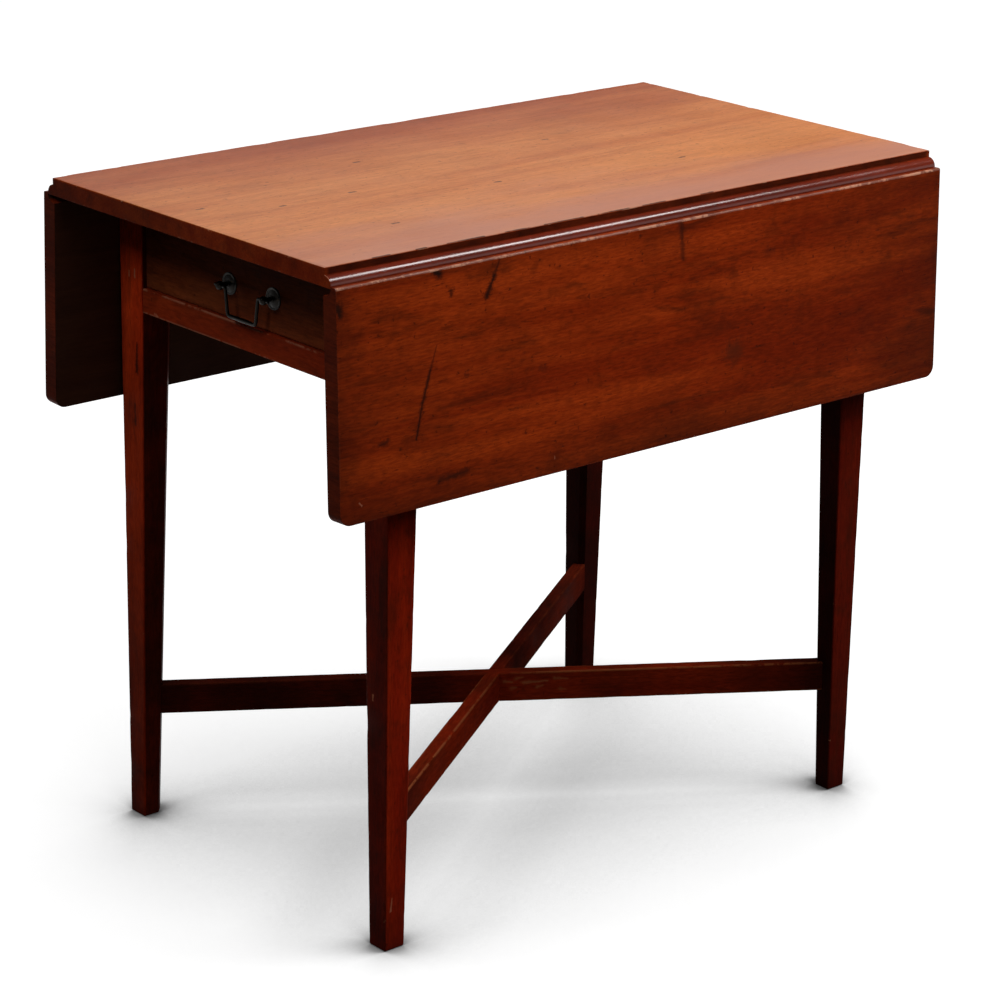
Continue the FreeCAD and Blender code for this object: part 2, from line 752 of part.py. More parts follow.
def nut(x):
    """A six-sided nut on the inside of the drawer front."""
    turns = [2 * math.pi * i / nut_sides for i in range(nut_sides + 1)]
    centre = V(x, drawer_front_back, pull_z)
    corners = [centre + V(math.cos(turn), 0, math.sin(turn)) * nut_radius for turn in turns]
    body = Part.Face(Part.makePolygon(corners)).extrude(V(0, nut_height, 0))
    bore_start = centre + FRONT * cut_overrun
    return cut(body, rod(post_radius + seat_gap, bore_start, ALONG_Y, nut_height + 2 * cut_overrun))


def rounded_path(points, radii):
    """Straight runs through points, with a tangent arc of its own radius at every corner."""
    edges = []
    start = points[0]
    for before, corner, after, radius in zip(points, points[1:], points[2:], radii):
        into = (corner - before).normalize()
        out = (after - corner).normalize()
        turn = math.acos(max(-1.0, min(1.0, into.dot(out))))
        back = radius * math.tan(turn / 2)
        first = corner - into * back
        last = corner + out * back
        inward = (out - into).normalize()
        centre_distance = radius / math.cos(turn / 2)
        middle = corner + inward * (centre_distance - radius)
        edges.append(Part.makeLine(start, first))
        edges.append(Part.Arc(first, middle, last).toShape())
        start = last
    edges.append(Part.makeLine(start, points[-1]))
    return Part.Wire(edges)


def bail():
    """The bail: a pin through each ball, arms hung between the posts, and a grip with wide bends."""
    eye_x = post_spacing / 2 - post_ball_radius - running_gap
    shoulder_x = eye_x - bail_eye_run - bail_shoulder_bend
    half = [V(eye_x, pull_y, pull_z), V(shoulder_x, pull_y, pull_z),
            V(bail_grip_spacing / 2, pull_y, pull_z - bail_drop)]
    points = half + [V(-p.x, p.y, p.z) for p in reversed(half)]
    bends = [bail_shoulder_bend, bail_grip_bend, bail_grip_bend, bail_shoulder_bend]
    path = rounded_path(points, bends)
    ring = Part.Wire([Part.makeCircle(bail_radius, points[0], ALONG_X)])
    grip = path.makePipeShell([ring], True, False)
    pins = [rod(bail_pin_radius, V(side * eye_x, pull_y, pull_z), ALONG_X * side, bail_pin_length)
            for side in (1, -1)]
    return join(grip, *pins)


post_tunnels = [rod(post_radius + seat_gap, V(x, drawer_face - cut_overrun, pull_z), ALONG_Y,
                    drawer_front_thickness + 2 * cut_overrun) for x in post_places]
drawer_front = cut(drawer_front, *post_tunnels)

nodes = {
    "top_board": top_board,
    **legs,
    "drawer_rail_lower": drawer_rail_lower,
    "drawer_rail_upper": drawer_rail_upper,
    "back_rail": back_rail,
    "side_rail_right": side_rail_right,
    "side_rail_left": other_side(side_rail_right),
    "stretcher_over": stretcher_over,
    "stretcher_under": stretcher_under,
    "drawer_runner_right": drawer_runner_right,
    "drawer_runner_left": other_side(drawer_runner_right),
    "drawer_kicker_right": drawer_kicker_right,
    "drawer_kicker_left": drawer_kicker_left,
    "drawer_stops": group(drawer_stops),
    "glue_blocks": group(glue_blocks),
    "top_screws": group(top_screws),
    "drawer_front": drawer_front,
    "drawer_side_right": drawer_side_right,
    "drawer_side_left": drawer_side_left,
    "drawer_back": drawer_back,
    "drawer_bottom": drawer_bottom,
    "drawer_bottom_nails": group(drawer_bottom_nails),
    "pull_rosettes": group([rosette(x) for x in post_places]),
    "pull_posts": group([post(x) for x in post_places]),
    "pull_nuts": group([nut(x) for x in post_places]),
    "pull_bail": bail(),
}
for name, right in {
    "fly_rail_hinge": fly_rail_hinge_right,
    "fly_rail_stop": fly_rail_stop_right,
    "fly_bracket": fly_bracket_right,
    "fly_pin": fly_pin_right,
    "leaf": leaf_right,
    "hinge_top_plates": hinge_top_plates_right,
    "hinge_top_screws": hinge_top_screws_right,
    "hinge_pins": hinge_pins_right,
    "hinge_leaf_plates": hinge_leaf_plates_right,
    "hinge_leaf_screws": hinge_leaf_screws_right,
}.items():
    nodes[name + "_right"] = right
    nodes[name + "_left"] = other_side(right)

os.makedirs("parts", exist_ok=True)
for name, shape in nodes.items():
    shape.exportStep("parts/" + name + ".step")
    print(name, len(shape.Solids), round(shape.Volume), shape.isValid())
print(len(nodes), "nodes")
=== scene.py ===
# %% [markdown]
# A pembroke table has a fixed top between two drop leaves, one drawer in the end, and four
# tapered legs tied by crossed stretchers. The CAD model already gives every piece its place and
# every joint its axis, so this lesson only dresses it: wood that has been used for two hundred
# years, a dark brass pull, iron hinges. The frame is loaded first, because each piece is placed
# from its boxes and joints instead of being fitted by eye.

# %% Load the frame
import json
import math

import bmesh
import bpy
from mathutils import Matrix, Vector, noise


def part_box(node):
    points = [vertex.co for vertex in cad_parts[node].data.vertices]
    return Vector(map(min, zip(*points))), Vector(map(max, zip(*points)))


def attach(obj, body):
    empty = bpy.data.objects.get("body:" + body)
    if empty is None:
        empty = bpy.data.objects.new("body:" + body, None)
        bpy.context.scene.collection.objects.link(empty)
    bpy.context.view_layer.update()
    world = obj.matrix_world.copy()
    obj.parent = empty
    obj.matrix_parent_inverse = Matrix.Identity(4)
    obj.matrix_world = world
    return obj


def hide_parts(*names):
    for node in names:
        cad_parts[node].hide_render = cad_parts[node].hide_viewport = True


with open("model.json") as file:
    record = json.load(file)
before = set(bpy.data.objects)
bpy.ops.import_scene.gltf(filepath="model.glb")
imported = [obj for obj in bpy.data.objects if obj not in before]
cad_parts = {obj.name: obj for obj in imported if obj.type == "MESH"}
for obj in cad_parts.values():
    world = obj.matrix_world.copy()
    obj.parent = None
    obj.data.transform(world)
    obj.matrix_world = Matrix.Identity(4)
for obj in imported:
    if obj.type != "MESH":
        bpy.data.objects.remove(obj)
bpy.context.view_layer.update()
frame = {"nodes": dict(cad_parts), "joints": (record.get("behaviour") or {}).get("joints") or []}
scene = bpy.context.scene
scene.view_settings.view_transform = "Standard"
joint = {entry["name"]: entry for entry in frame["joints"]}

# %% [markdown]
# The camera stands off the near corner, a little above the top, with a long lens. A long lens from
# far away keeps the edges of the top nearly parallel, as they are in the photograph; a short lens
# from close by would make the near corner loom. The camera is also turned by about one degree
# round its own axis, because the photograph leans by that much.

# %% Camera
camera_place = Vector((2.4873, -2.1699, 1.4726))
camera_azimuth = math.radians(48.85)
camera_elevation = math.radians(18.81)
camera_roll = math.radians(1.05)
camera_data = bpy.data.cameras.new("corner_camera")
camera_data.sensor_width = 36
camera_data.lens = 116.7
camera = bpy.data.objects.new("corner_camera", camera_data)
scene.collection.objects.link(camera)
camera.matrix_world = (
    Matrix.Translation(camera_place)
    @ Matrix.Rotation(camera_azimuth, 4, "Z")
    @ Matrix.Rotation(math.radians(90) - camera_elevation, 4, "X")
    @ Matrix.Rotation(camera_roll, 4, "Z")
)
scene.camera = camera
print("camera", tuple(round(v, 3) for v in camera.location), "lens", camera_data.lens)

# %% [markdown]
# Nodes are wired by code in this lesson, and every material needs the same few: a noise, a
# smooth step, a mix, a sum. Short helpers keep the recipes readable. An input takes either a plain
# value or the output of another node, which is then linked.

# %% Short ways to wire nodes
def wire(tree, kind, inputs, **settings):
    """Adds a node; an input is a value or another node's output."""
    made = tree.nodes.new("ShaderNode" + kind)
    for name, value in settings.items():
        setattr(made, name, value)
    for key, value in inputs.items():
        if isinstance(value, bpy.types.NodeSocket):
            tree.links.new(value, made.inputs[key])
        elif made.inputs[key].type == "RGBA":
            made.inputs[key].default_value = (*value[:3], 1)
        else:
            made.inputs[key].default_value = value
    return made


def calc(tree, operation, first, second=0.0):
    """One sum with two values."""
    return wire(tree, "Math", {0: first, 1: second}, operation=operation).outputs[0]


def step(tree, value, low, high, to_low=0.0, to_high=1.0):
    """A smooth step from to_low to to_high while the value goes from low to high."""
    inputs = {"Value": value, "From Min": low, "From Max": high, "To Min": to_low, "To Max": to_high}
    return wire(tree, "MapRange", inputs, interpolation_type="SMOOTHSTEP").outputs[0]


def blend(tree, factor, first, second, kind="MIX"):
    """Two colours mixed by a factor."""
    inputs = {0: factor, 6: first, 7: second}
    return wire(tree, "Mix", inputs, data_type="RGBA", blend_type=kind).outputs[2]


def vector_calc(tree, operation, first, second=(0, 0, 0)):
    """One sum with two vectors."""
    return wire(tree, "VectorMath", {0: first, 1: second}, operation=operation)


def clouds(tree, vector, scale, detail=4.0, roughness=0.55, distortion=0.0):
    """Noise with features about one over scale metres wide; a scale of three numbers pulls it out."""
    if not isinstance(scale, (int, float)):
        vector = vector_calc(tree, "MULTIPLY", vector, scale).outputs[0]
        scale = 1.0
    inputs = {"Vector": vector, "Scale": scale, "Detail": detail, "Roughness": roughness,
              "Distortion": distortion}
    return wire(tree, "TexNoise", inputs).outputs[0]


print("node helpers ready")

# %% [markdown]
# The floor is plain and pale. It could be lit until it burns out to white, but then the table would
# burn out too. Instead, it answers camera and mirror rays with a glow plus its own lit surface, so
# it reads as white and still keeps the shadow of the table. The glow stands for the light of a
# white room, so an occlusion node dims it where the table stands in the way, under the top and at
# the feet: that dimming is a painted shadow. The glow is also a little lower near the middle, a
# painted shadow too, and is full white further out, where the lamps fade. Overhead the room has a
# dark ceiling, so that polished edges mirror the lamps and not a white sky.

# %% Floor and world
def seen_directly(tree):
    """One for rays from the camera, from gloss and through glass, nought for the rest."""
    path = tree.nodes.new("ShaderNodeLightPath").outputs
    gloss = calc(tree, "MAXIMUM", path["Is Glossy Ray"], path["Is Transmission Ray"])
    return calc(tree, "MAXIMUM", path["Is Camera Ray"], gloss)


def emitter(tree, kind, strength):
    """A white glow of the given strength."""
    return wire(tree, kind, {"Color": (1, 1, 1), "Strength": strength}).outputs[0]


def fresh_tree(owner):
    """The empty node tree of a material or a world."""
    owner.use_nodes = True
    owner.node_tree.nodes.clear()
    return owner.node_tree


def new_material(name):
    """A material with an empty tree, and the place of a point as its nodes see it."""
    material = bpy.data.materials.new(name)
    tree = fresh_tree(material)
    return material, tree, tree.nodes.new("ShaderNodeTexCoord").outputs["Object"]


def as_object(bm, name, *materials):
    """Turns a finished mesh into an object of the scene."""
    mesh = bpy.data.meshes.new(name)
    bm.to_mesh(mesh)
    bm.free()
    for material in materials:
        mesh.materials.append(material)
    made = bpy.data.objects.new(name, mesh)
    scene.collection.objects.link(made)
    return made


floor_glow = (0.92, 1.0)
glow_shadow_reach = (0.30, 1.20)
floor_paint = (0.28, 0.28, 0.28)
floor_bounce = (0.06, 0.057, 0.054)
room_height = 1.5
room_shadow_steps = (0.32, 0.88, 0.16, 1.0)
foot_shade = 0.16
foot_shadow_steps = (0.60, 1.0, 0.26, 1.0)
floor_reach = 40.0
floor_gap = 0.0004

floor_bm = bmesh.new()
bmesh.ops.create_grid(floor_bm, x_segments=1, y_segments=1, size=floor_reach)
bmesh.ops.translate(floor_bm, verts=floor_bm.verts, vec=(0, 0, -floor_gap))
floor = as_object(floor_bm, "studio_floor")

floor_material, tree, place = new_material("pale_floor")
from_middle = wire(tree, "VectorMath", {0: place}, operation="LENGTH").outputs["Value"]
# Painted shadow: the glow is a little lower near the middle, and occlusion dims it under the table and at
# the feet.
glow = step(tree, from_middle, *glow_shadow_reach, *floor_glow)
open_room = wire(tree, "AmbientOcclusion", {"Distance": room_height}, samples=24).outputs["AO"]
glow = calc(tree, "MULTIPLY", glow, step(tree, open_room, *room_shadow_steps))
near_feet = wire(tree, "AmbientOcclusion", {"Distance": foot_shade}, samples=16).outputs["AO"]
glow = calc(tree, "MULTIPLY", glow, step(tree, near_feet, *foot_shadow_steps))
paint = wire(tree, "BsdfDiffuse", {"Color": floor_paint}).outputs[0]
lit = wire(tree, "AddShader", {0: emitter(tree, "Emission", glow), 1: paint}).outputs[0]
dim = wire(tree, "BsdfDiffuse", {"Color": floor_bounce}).outputs[0]
mixed = wire(tree, "MixShader", {0: seen_directly(tree), 1: dim, 2: lit}).outputs[0]
wire(tree, "OutputMaterial", {"Surface": mixed})
floor.data.materials.append(floor_material)

ambient_level = 0.035
ceiling_level = 0.10
wall_top = (0.08, 0.34)
world = bpy.data.worlds.new("studio_world")
scene.world = world
tree = fresh_tree(world)
direction = tree.nodes.new("ShaderNodeTexCoord").outputs["Generated"]
upward = wire(tree, "SeparateXYZ", {0: direction}).outputs["Z"]
ambient = emitter(tree, "Background", ambient_level)
white = emitter(tree, "Background", step(tree, upward, *wall_top, 1.0, ceiling_level))
mixed = wire(tree, "MixShader", {0: seen_directly(tree), 1: ambient, 2: white}).outputs[0]
wire(tree, "OutputWorld", {"Surface": mixed})
print("floor", floor_reach * 2, "m wide, ambient level", ambient_level)

# %% [markdown]
# Five soft lamps stand round the table. The key is a wide one at the rear right, because its
# mirror image then runs along the polished moulding at the camera's angle. One over the table
# fills in the top; one on the right lights the leaf; one at the front is high enough for the top to
# throw its shadow over the upper half of the drawer, and still reaches the legs and the rail; one
# at the rear left keeps the far sides readable.

# %% Lamps
def softbox(name, place, target, size, power):
    """A soft lamp that faces a point; the second size is along the way it looks."""
    data = bpy.data.lights.new(name, "AREA")
    data.shape = "RECTANGLE"
    data.size, data.size_y = size
    data.energy = power
    lamp = bpy.data.objects.new(name, data)
    scene.collection.objects.link(lamp)
    aim = (Vector(target) - Vector(place)).to_track_quat("-Z", "Y")
    lamp.matrix_world = Matrix.Translation(place) @ aim.to_matrix().to_4x4()
    print(name, "at", place, "power", power)


softbox("key_softbox", (1.36, 1.70, 2.75), (1.36, 1.69, 0.0), (1.4, 1.15), 82)
softbox("top_softbox", (0.30, -0.20, 2.90), (0.0, 0.0, 0.7), (1.6, 1.4), 4)
softbox("right_softbox", (2.2, -0.6, 2.4), (0.2, 0.0, 0.6), (1.4, 1.2), 12)
softbox("front_softbox", (-0.25, -2.00, 2.50), (-0.1, -0.3, 0.5), (0.9, 1.0), 22)
softbox("rear_left_softbox", (-2.2, 1.4, 2.5), (0.0, 0.0, 0.5), (1.6, 1.6), 20)

# %% [markdown]
# The wood is cherry that has gone red under an old varnish. An image could carry its figure, but
# a pattern made of nodes follows the solid, so the lines run over an edge and on down the next
# face as real grain does. The effect is a node group, because every board uses it with its own
# colours: slow streaks, bands and fine lines are noise pulled out along the grain, ripples are the
# short flecks that cherry shows between them, smears are darker patches, and the pores are small
# dark dashes.

# %% Node group: timber grain
def new_group(name, inputs, outputs):
    """A shader node group with named sockets; returns it with its input and output ends."""
    group = bpy.data.node_groups.new(name, "ShaderNodeTree")
    for label, kind in inputs.items():
        group.interface.new_socket(name=label, in_out="INPUT", socket_type="NodeSocket" + kind)
    for label, kind in outputs.items():
        group.interface.new_socket(name=label, in_out="OUTPUT", socket_type="NodeSocket" + kind)
    given = group.nodes.new("NodeGroupInput").outputs
    return group, given, group.nodes.new("NodeGroupOutput").inputs


def placed(tree, group, inputs):
    """A copy of a node group inside a material."""
    return wire(tree, "Group", inputs, node_tree=group).outputs


timber, given, result = new_group(
    "timber_grain",
    {"Vector": "Vector", "Pale": "Color", "Dark": "Color", "Pore": "Color", "Pores": "Float",
     "Smudge": "Float", "Fleck": "Float"},
    {"Color": "Color", "Height": "Float"})
streaks = clouds(timber, given["Vector"], (1.6, 15, 15), 5, 0.6, 0.8)
bands = clouds(timber, given["Vector"], (3.5, 70, 70), 4, 0.6, 0.5)
lines = clouds(timber, given["Vector"], (9.0, 400, 400), 3, 0.6)
streak_share, band_share, line_share = 0.62, 0.26, 0.12
slow = calc(timber, "MULTIPLY", streaks, streak_share)
middle = calc(timber, "MULTIPLY", bands, band_share)
fine = calc(timber, "MULTIPLY", lines, line_share)
figure = calc(timber, "ADD", calc(timber, "ADD", slow, middle), fine)
shade = blend(timber, step(timber, figure, 0.36, 0.64), given["Pale"], given["Dark"])
ripples = clouds(timber, given["Vector"], (85, 520, 520), 3, 0.65)
swing = step(timber, ripples, 0.30, 0.70, -1.0, 1.0)
swing = calc(timber, "ADD", calc(timber, "MULTIPLY", swing, given["Fleck"]), 1.0)
shade = blend(timber, 1.0, shade, swing, "MULTIPLY")
smears = clouds(timber, given["Vector"], (10, 58, 58), 5, 0.65, 0.6)
smear_mask = calc(timber, "MULTIPLY", step(timber, smears, 0.50, 0.74), given["Smudge"])
shade = blend(timber, smear_mask, shade, given["Pore"])
pores = clouds(timber, given["Vector"], (110, 700, 700), 2, 0.5)
pore_mask = calc(timber, "MULTIPLY", step(timber, pores, 0.64, 0.74), given["Pores"])
timber.links.new(blend(timber, pore_mask, shade, given["Pore"]), result["Color"])
relief = calc(timber, "SUBTRACT", calc(timber, "MULTIPLY", lines, 0.5), pore_mask)
timber.links.new(relief, result["Height"])
print("group", timber.name, "nodes", len(timber.nodes))

# %% [markdown]
# Old varnish is never even: it has darkened in clouds, taken small black specks, and worn to
# different degrees of gloss. A second group lays that over the grain. It works on round noise, not
# on stretched noise, because the varnish knows nothing of the grain under it.

# %% Node group: old varnish
varnish, given, result = new_group(
    "old_varnish",
    {"Vector": "Vector", "Color": "Color", "Stain": "Color", "Mottle": "Float", "Specks": "Float",
     "Smooth": "Float", "Rough": "Float"},
    {"Color": "Color", "Roughness": "Float", "Height": "Float"})
wide = step(varnish, clouds(varnish, given["Vector"], 5.5, 5, 0.6), 0.42, 0.72)
close = step(varnish, clouds(varnish, given["Vector"], 31.0, 5, 0.65), 0.50, 0.78)
cloudy = calc(varnish, "MAXIMUM", wide, close)
speck_noise = clouds(varnish, given["Vector"], 160.0, 3, 0.5)
speck_mask = calc(varnish, "MULTIPLY", step(varnish, speck_noise, 0.66, 0.74), given["Specks"])
cloud_mask = calc(varnish, "MULTIPLY", cloudy, given["Mottle"])
shade = blend(varnish, cloud_mask, given["Color"], given["Stain"])
varnish.links.new(blend(varnish, speck_mask, shade, given["Stain"]), result["Color"])
rubbed = clouds(varnish, given["Vector"], 14.0, 5, 0.6)
gloss = wire(varnish, "MapRange", {"Value": rubbed, "From Min": 0.3, "From Max": 0.7,
                                   "To Min": given["Smooth"], "To Max": given["Rough"]})
varnish.links.new(gloss.outputs[0], result["Roughness"])
ripple = clouds(varnish, given["Vector"], 48.0, 3, 0.5)
varnish.links.new(calc(varnish, "SUBTRACT", ripple, speck_mask), result["Height"])
print("group", varnish.name, "nodes", len(varnish.nodes))

# %% [markdown]
# Edges wear first: the varnish goes, pale wood shows, and dirt settles beside it. Pointiness from
# the geometry node is one way to find edges, but it depends on how fine the mesh is. Here every
# piece carries an attribute named wear, which is high on its eased edges and nought elsewhere, and
# one for soot, which is high where hands and dusters never reach and also where shade falls: there
# it paints shade into the colour. This group breaks both up with noise, so that they come and go.

# %% Node group: edge wear, dirt and painted shade
wear_and_shade_group, given, result = new_group(
    "edge_wear",
    {"Vector": "Vector", "Color": "Color", "Wear": "Float", "Bare": "Color", "Dirt": "Color",
     "Soot": "Float", "Amount": "Float", "Grime": "Float"},
    {"Color": "Color", "Mask": "Float"})
patchy = clouds(wear_and_shade_group, given["Vector"], 26.0, 6, 0.7)
ragged = clouds(wear_and_shade_group, given["Vector"], 190.0, 4, 0.6)
noisy = calc(wear_and_shade_group, "ADD", calc(wear_and_shade_group, "MULTIPLY", patchy, 0.7),
             calc(wear_and_shade_group, "MULTIPLY", ragged, 0.3))
lifted = calc(wear_and_shade_group, "ADD", noisy, calc(wear_and_shade_group, "SUBTRACT", given["Amount"], 0.5))
bare_mask = calc(wear_and_shade_group, "MULTIPLY", given["Wear"], step(wear_and_shade_group, lifted, 0.50, 0.58))
# The soot mask darkens with dirt, and with painted shade where shade falls.
dirt_and_shade_noise = step(wear_and_shade_group, clouds(wear_and_shade_group, given["Vector"], 16.0, 5, 0.6), 0.25, 0.70, 0.72, 1.0)
dirt_and_shade_mask = calc(wear_and_shade_group, "MULTIPLY", calc(wear_and_shade_group, "MULTIPLY", given["Soot"], dirt_and_shade_noise),
                 given["Grime"])
dirt_and_shade_color = blend(wear_and_shade_group, dirt_and_shade_mask, given["Color"], given["Dirt"])
wear_and_shade_group.links.new(blend(wear_and_shade_group, bare_mask, dirt_and_shade_color, given["Bare"]), result["Color"])
wear_and_shade_group.links.new(bare_mask, result["Mask"])
print("group", wear_and_shade_group.name, "nodes", len(wear_and_shade_group.nodes))

# %% [markdown]
# Some marks are single accidents: a long scratch, a round stain where something hot or wet stood,
# a bruise at the lip. Each is the distance to a short line whose width may taper, softened and made
# ragged with noise. A stain is the same thing with a line of no length.

# %% Node group: single mark
mark_group, given, result = new_group(
    "single_mark",
    {"Vector": "Vector", "From": "Vector", "To": "Vector", "Start": "Float", "End": "Float",
     "Strength": "Float"},
    {"Mask": "Float"})
run = vector_calc(mark_group, "SUBTRACT", given["To"], given["From"]).outputs[0]
reach = vector_calc(mark_group, "SUBTRACT", given["Vector"], given["From"]).outputs[0]
run_square = vector_calc(mark_group, "DOT_PRODUCT", run, run).outputs["Value"]
run_square = calc(mark_group, "MAXIMUM", run_square, 1e-9)
ahead = vector_calc(mark_group, "DOT_PRODUCT", reach, run).outputs["Value"]
share = wire(mark_group, "Clamp", {"Value": calc(mark_group, "DIVIDE", ahead, run_square)}).outputs[0]
nearest = wire(mark_group, "VectorMath", {0: run, "Scale": share}, operation="SCALE").outputs[0]
off = vector_calc(mark_group, "SUBTRACT", reach, nearest).outputs[0]
away = wire(mark_group, "VectorMath", {0: off}, operation="LENGTH").outputs["Value"]
width = wire(mark_group, "MapRange", {"Value": share, "To Min": given["Start"],
                                      "To Max": given["End"]}).outputs[0]
ragged = clouds(mark_group, given["Vector"], 210.0, 5, 0.7)
uneven = calc(mark_group, "MULTIPLY", step(mark_group, ragged, 0.25, 0.75, 0.35, 1.65), width)
closeness = calc(mark_group, "DIVIDE", away, uneven)
mark_mask = step(mark_group, closeness, 0.0, 1.0, 1.0, 0.0)
mark_group.links.new(calc(mark_group, "MULTIPLY", mark_mask, given["Strength"]), result["Mask"])
print("group", mark_group.name, "nodes", len(mark_group.nodes))

# %% [markdown]
# One recipe now makes every varnished board: grain turned along the board, varnish over it, wear on
# its edges, then its single marks. What differs from board to board is colour and how worn it is. A
# wide board may also change its tone from one side to the other and carry a painted sheen, a pale
# bloom towards one side. The gloss is kept low, because a reflection of the white room would veil
# the deep red.

# %% Varnished wood
along_x = (0, 0, 0)
along_y = (0, 0, math.radians(-90))
along_z = (0, math.radians(90), 0)
pore_brown = (0.05, 0.010, 0.003)
stain_brown = (0.045, 0.009, 0.003)
bare_pink = (0.50, 0.22, 0.13)
dirt_and_shade_black = (0.010, 0.004, 0.003)
tone_wander = 0.06
grain_relief = 0.35
bump_strength, bump_depth = 0.22, 0.0006
bare_roughness = 0.2


def varnished(name, turn, pale, dark, mottle=0.4, specks=0.4, pores=0.4, smudge=0.3, fleck=0.10,
              smooth=0.26, rough=0.46, amount=0.5, grime=0.5, specular=0.10, bare=bare_pink,
              sides=(), marks=()):
    """A varnished wood whose grain runs along one direction of the table."""
    material, tree, place = new_material(name)
    turned = wire(tree, "Mapping", {"Vector": place, "Rotation": turn}).outputs[0]
    grain = placed(tree, timber, {"Vector": turned, "Pale": pale, "Dark": dark, "Pore": pore_brown,
                                  "Pores": pores, "Smudge": smudge, "Fleck": fleck})
    film = placed(tree, varnish, {"Vector": place, "Color": grain["Color"], "Stain": stain_brown,
                                  "Mottle": mottle, "Specks": specks, "Smooth": smooth, "Rough": rough})
    color = film["Color"]
    if sides:
        across = wire(tree, "SeparateXYZ", {0: place}).outputs["X"]
        slow = clouds(tree, turned, (2.5, 9, 9), 4, 0.6)
        wander = step(tree, slow, 0.2, 0.8, -tone_wander, tone_wander)
        across = calc(tree, "ADD", across, wander)
    for begin, full, strength, shade, kind in sides:
        color = blend(tree, step(tree, across, begin, full, 0.0, strength), color, shade, kind)
    edge = wire(tree, "Attribute", {}, attribute_name="wear").outputs["Fac"]
    soot = wire(tree, "Attribute", {}, attribute_name="soot").outputs["Fac"]
    worn_and_shaded = placed(tree, wear_and_shade_group, {"Vector": place, "Color": color, "Wear": edge, "Soot": soot,
                                     "Bare": bare, "Dirt": dirt_and_shade_black, "Amount": amount,
                                     "Grime": grime})
    color = worn_and_shaded["Color"]
    dents = worn_and_shaded["Mask"]
    for shade, lines in marks:
        mask = 0.0
        for start, end, width, end_width, strength in lines:
            mark = placed(tree, mark_group, {"Vector": place, "From": start, "To": end, "Start": width,
                                             "End": end_width, "Strength": strength})["Mask"]
            mask = calc(tree, "MAXIMUM", mask, mark)
        color = blend(tree, mask, color, shade)
        dents = calc(tree, "MAXIMUM", dents, mask)
    relief = calc(tree, "ADD", calc(tree, "MULTIPLY", grain["Height"], grain_relief), film["Height"])
    relief = calc(tree, "SUBTRACT", relief, dents)
    bump = wire(tree, "Bump", {"Strength": bump_strength, "Distance": bump_depth, "Height": relief})
    rougher = calc(tree, "MULTIPLY", worn_and_shaded["Mask"], bare_roughness)
    roughness = calc(tree, "ADD", film["Roughness"], rougher)
    shader = wire(tree, "BsdfPrincipled", {"Base Color": color, "Roughness": roughness,
                                           "Normal": bump.outputs[0], "Specular IOR Level": specular})
    wire(tree, "OutputMaterial", {"Surface": shader.outputs[0]})
    print("material", name)
    return material


# %% [markdown]
# Boards, legs and rails are all made in the same order. An outline is drawn with a vertex that is
# pulled from corner to corner, filled, and lengthened into a solid. Its sharp edges are eased with
# a bevel, then thin cuts right round it give points along each edge, and those points are knocked
# in here and there. Easing before cutting keeps the bevel clean, because it still works on long
# plain edges.

# %% Helpers that shape wood
sharp_angle = math.radians(30)
tiny = 1e-5
weld = 1e-6
large_area = 0.0004
dent_sizes = ((38, 0.18), (130, 0.30))
replaced = set()


def only_verts(items):
    """The vertices among the things that an operator returns."""
    return [item for item in items if isinstance(item, bmesh.types.BMVert)]


def rise(edge):
    """How far an edge climbs from one end to the other."""
    return abs(edge.verts[0].co.z - edge.verts[1].co.z)


def block(bm, size, centre):
    """A plain block of wood round a centre."""
    bmesh.ops.create_cube(bm, size=1)
    bmesh.ops.scale(bm, vec=size, verts=bm.verts[:])
    bmesh.ops.translate(bm, vec=centre, verts=bm.verts[:])


def pencil(bm, start, *corners):
    """Draws straight lines from a vertex through corners, and returns the last vertex."""
    for corner in corners:
        start = bmesh.ops.extrude_vert_indiv(bm, verts=[start])["verts"][0]
        start.co = corner
    return start


def lengthen(bm, faces, run):
    """Pulls faces out along a vector; returns the vertices that moved."""
    moved = only_verts(bmesh.ops.extrude_face_region(bm, geom=faces)["geom"])
    bmesh.ops.translate(bm, verts=moved, vec=run)
    return moved


def sharp_edges(bm):
    """Edges where two faces meet in an outer corner."""
    bmesh.ops.recalc_face_normals(bm, faces=bm.faces[:])
    return [edge for edge in bm.edges
            if edge.is_manifold and edge.calc_face_angle_signed() > sharp_angle]


def ease(bm, edges, width, strength, segments=2):
    """Rounds edges over and remembers how worn the new faces are, from nought to one."""
    eased = bm.faces.layers.float["eased"]
    made = bmesh.ops.bevel(bm, geom=edges, offset=width, offset_type="OFFSET", affect="EDGES",
                           segments=segments, profile=0.5, material=-1, clamp_overlap=True)
    for face in made["faces"]:
        face[eased] = strength


def slice_at(bm, place, direction):
    """Cuts a mesh right through with a plane, leaving both halves."""
    geometry = bm.verts[:] + bm.edges[:] + bm.faces[:]
    bmesh.ops.bisect_plane(bm, geom=geometry, dist=weld, plane_co=place, plane_no=direction)


def slices(bm, axis, low, high, spacing):
    """Even cuts along one axis."""
    count = max(1, round((high - low) / spacing))
    direction = Vector([1.0 if i == axis else 0.0 for i in range(3)])
    for i in range(1, count):
        slice_at(bm, direction * (low + (high - low) * i / count), direction)


def edge_lines(bm, inset):
    """A cut beside every edge of the large faces, so that wear stays close to the edge."""
    eased = bm.faces.layers.float["eased"]
    large = [(face.calc_center_median(), face.normal.copy()) for face in bm.faces
             if not face[eased] and face.calc_area() > large_area]
    for centre, normal in large:
        slice_at(bm, centre - normal * inset, normal)


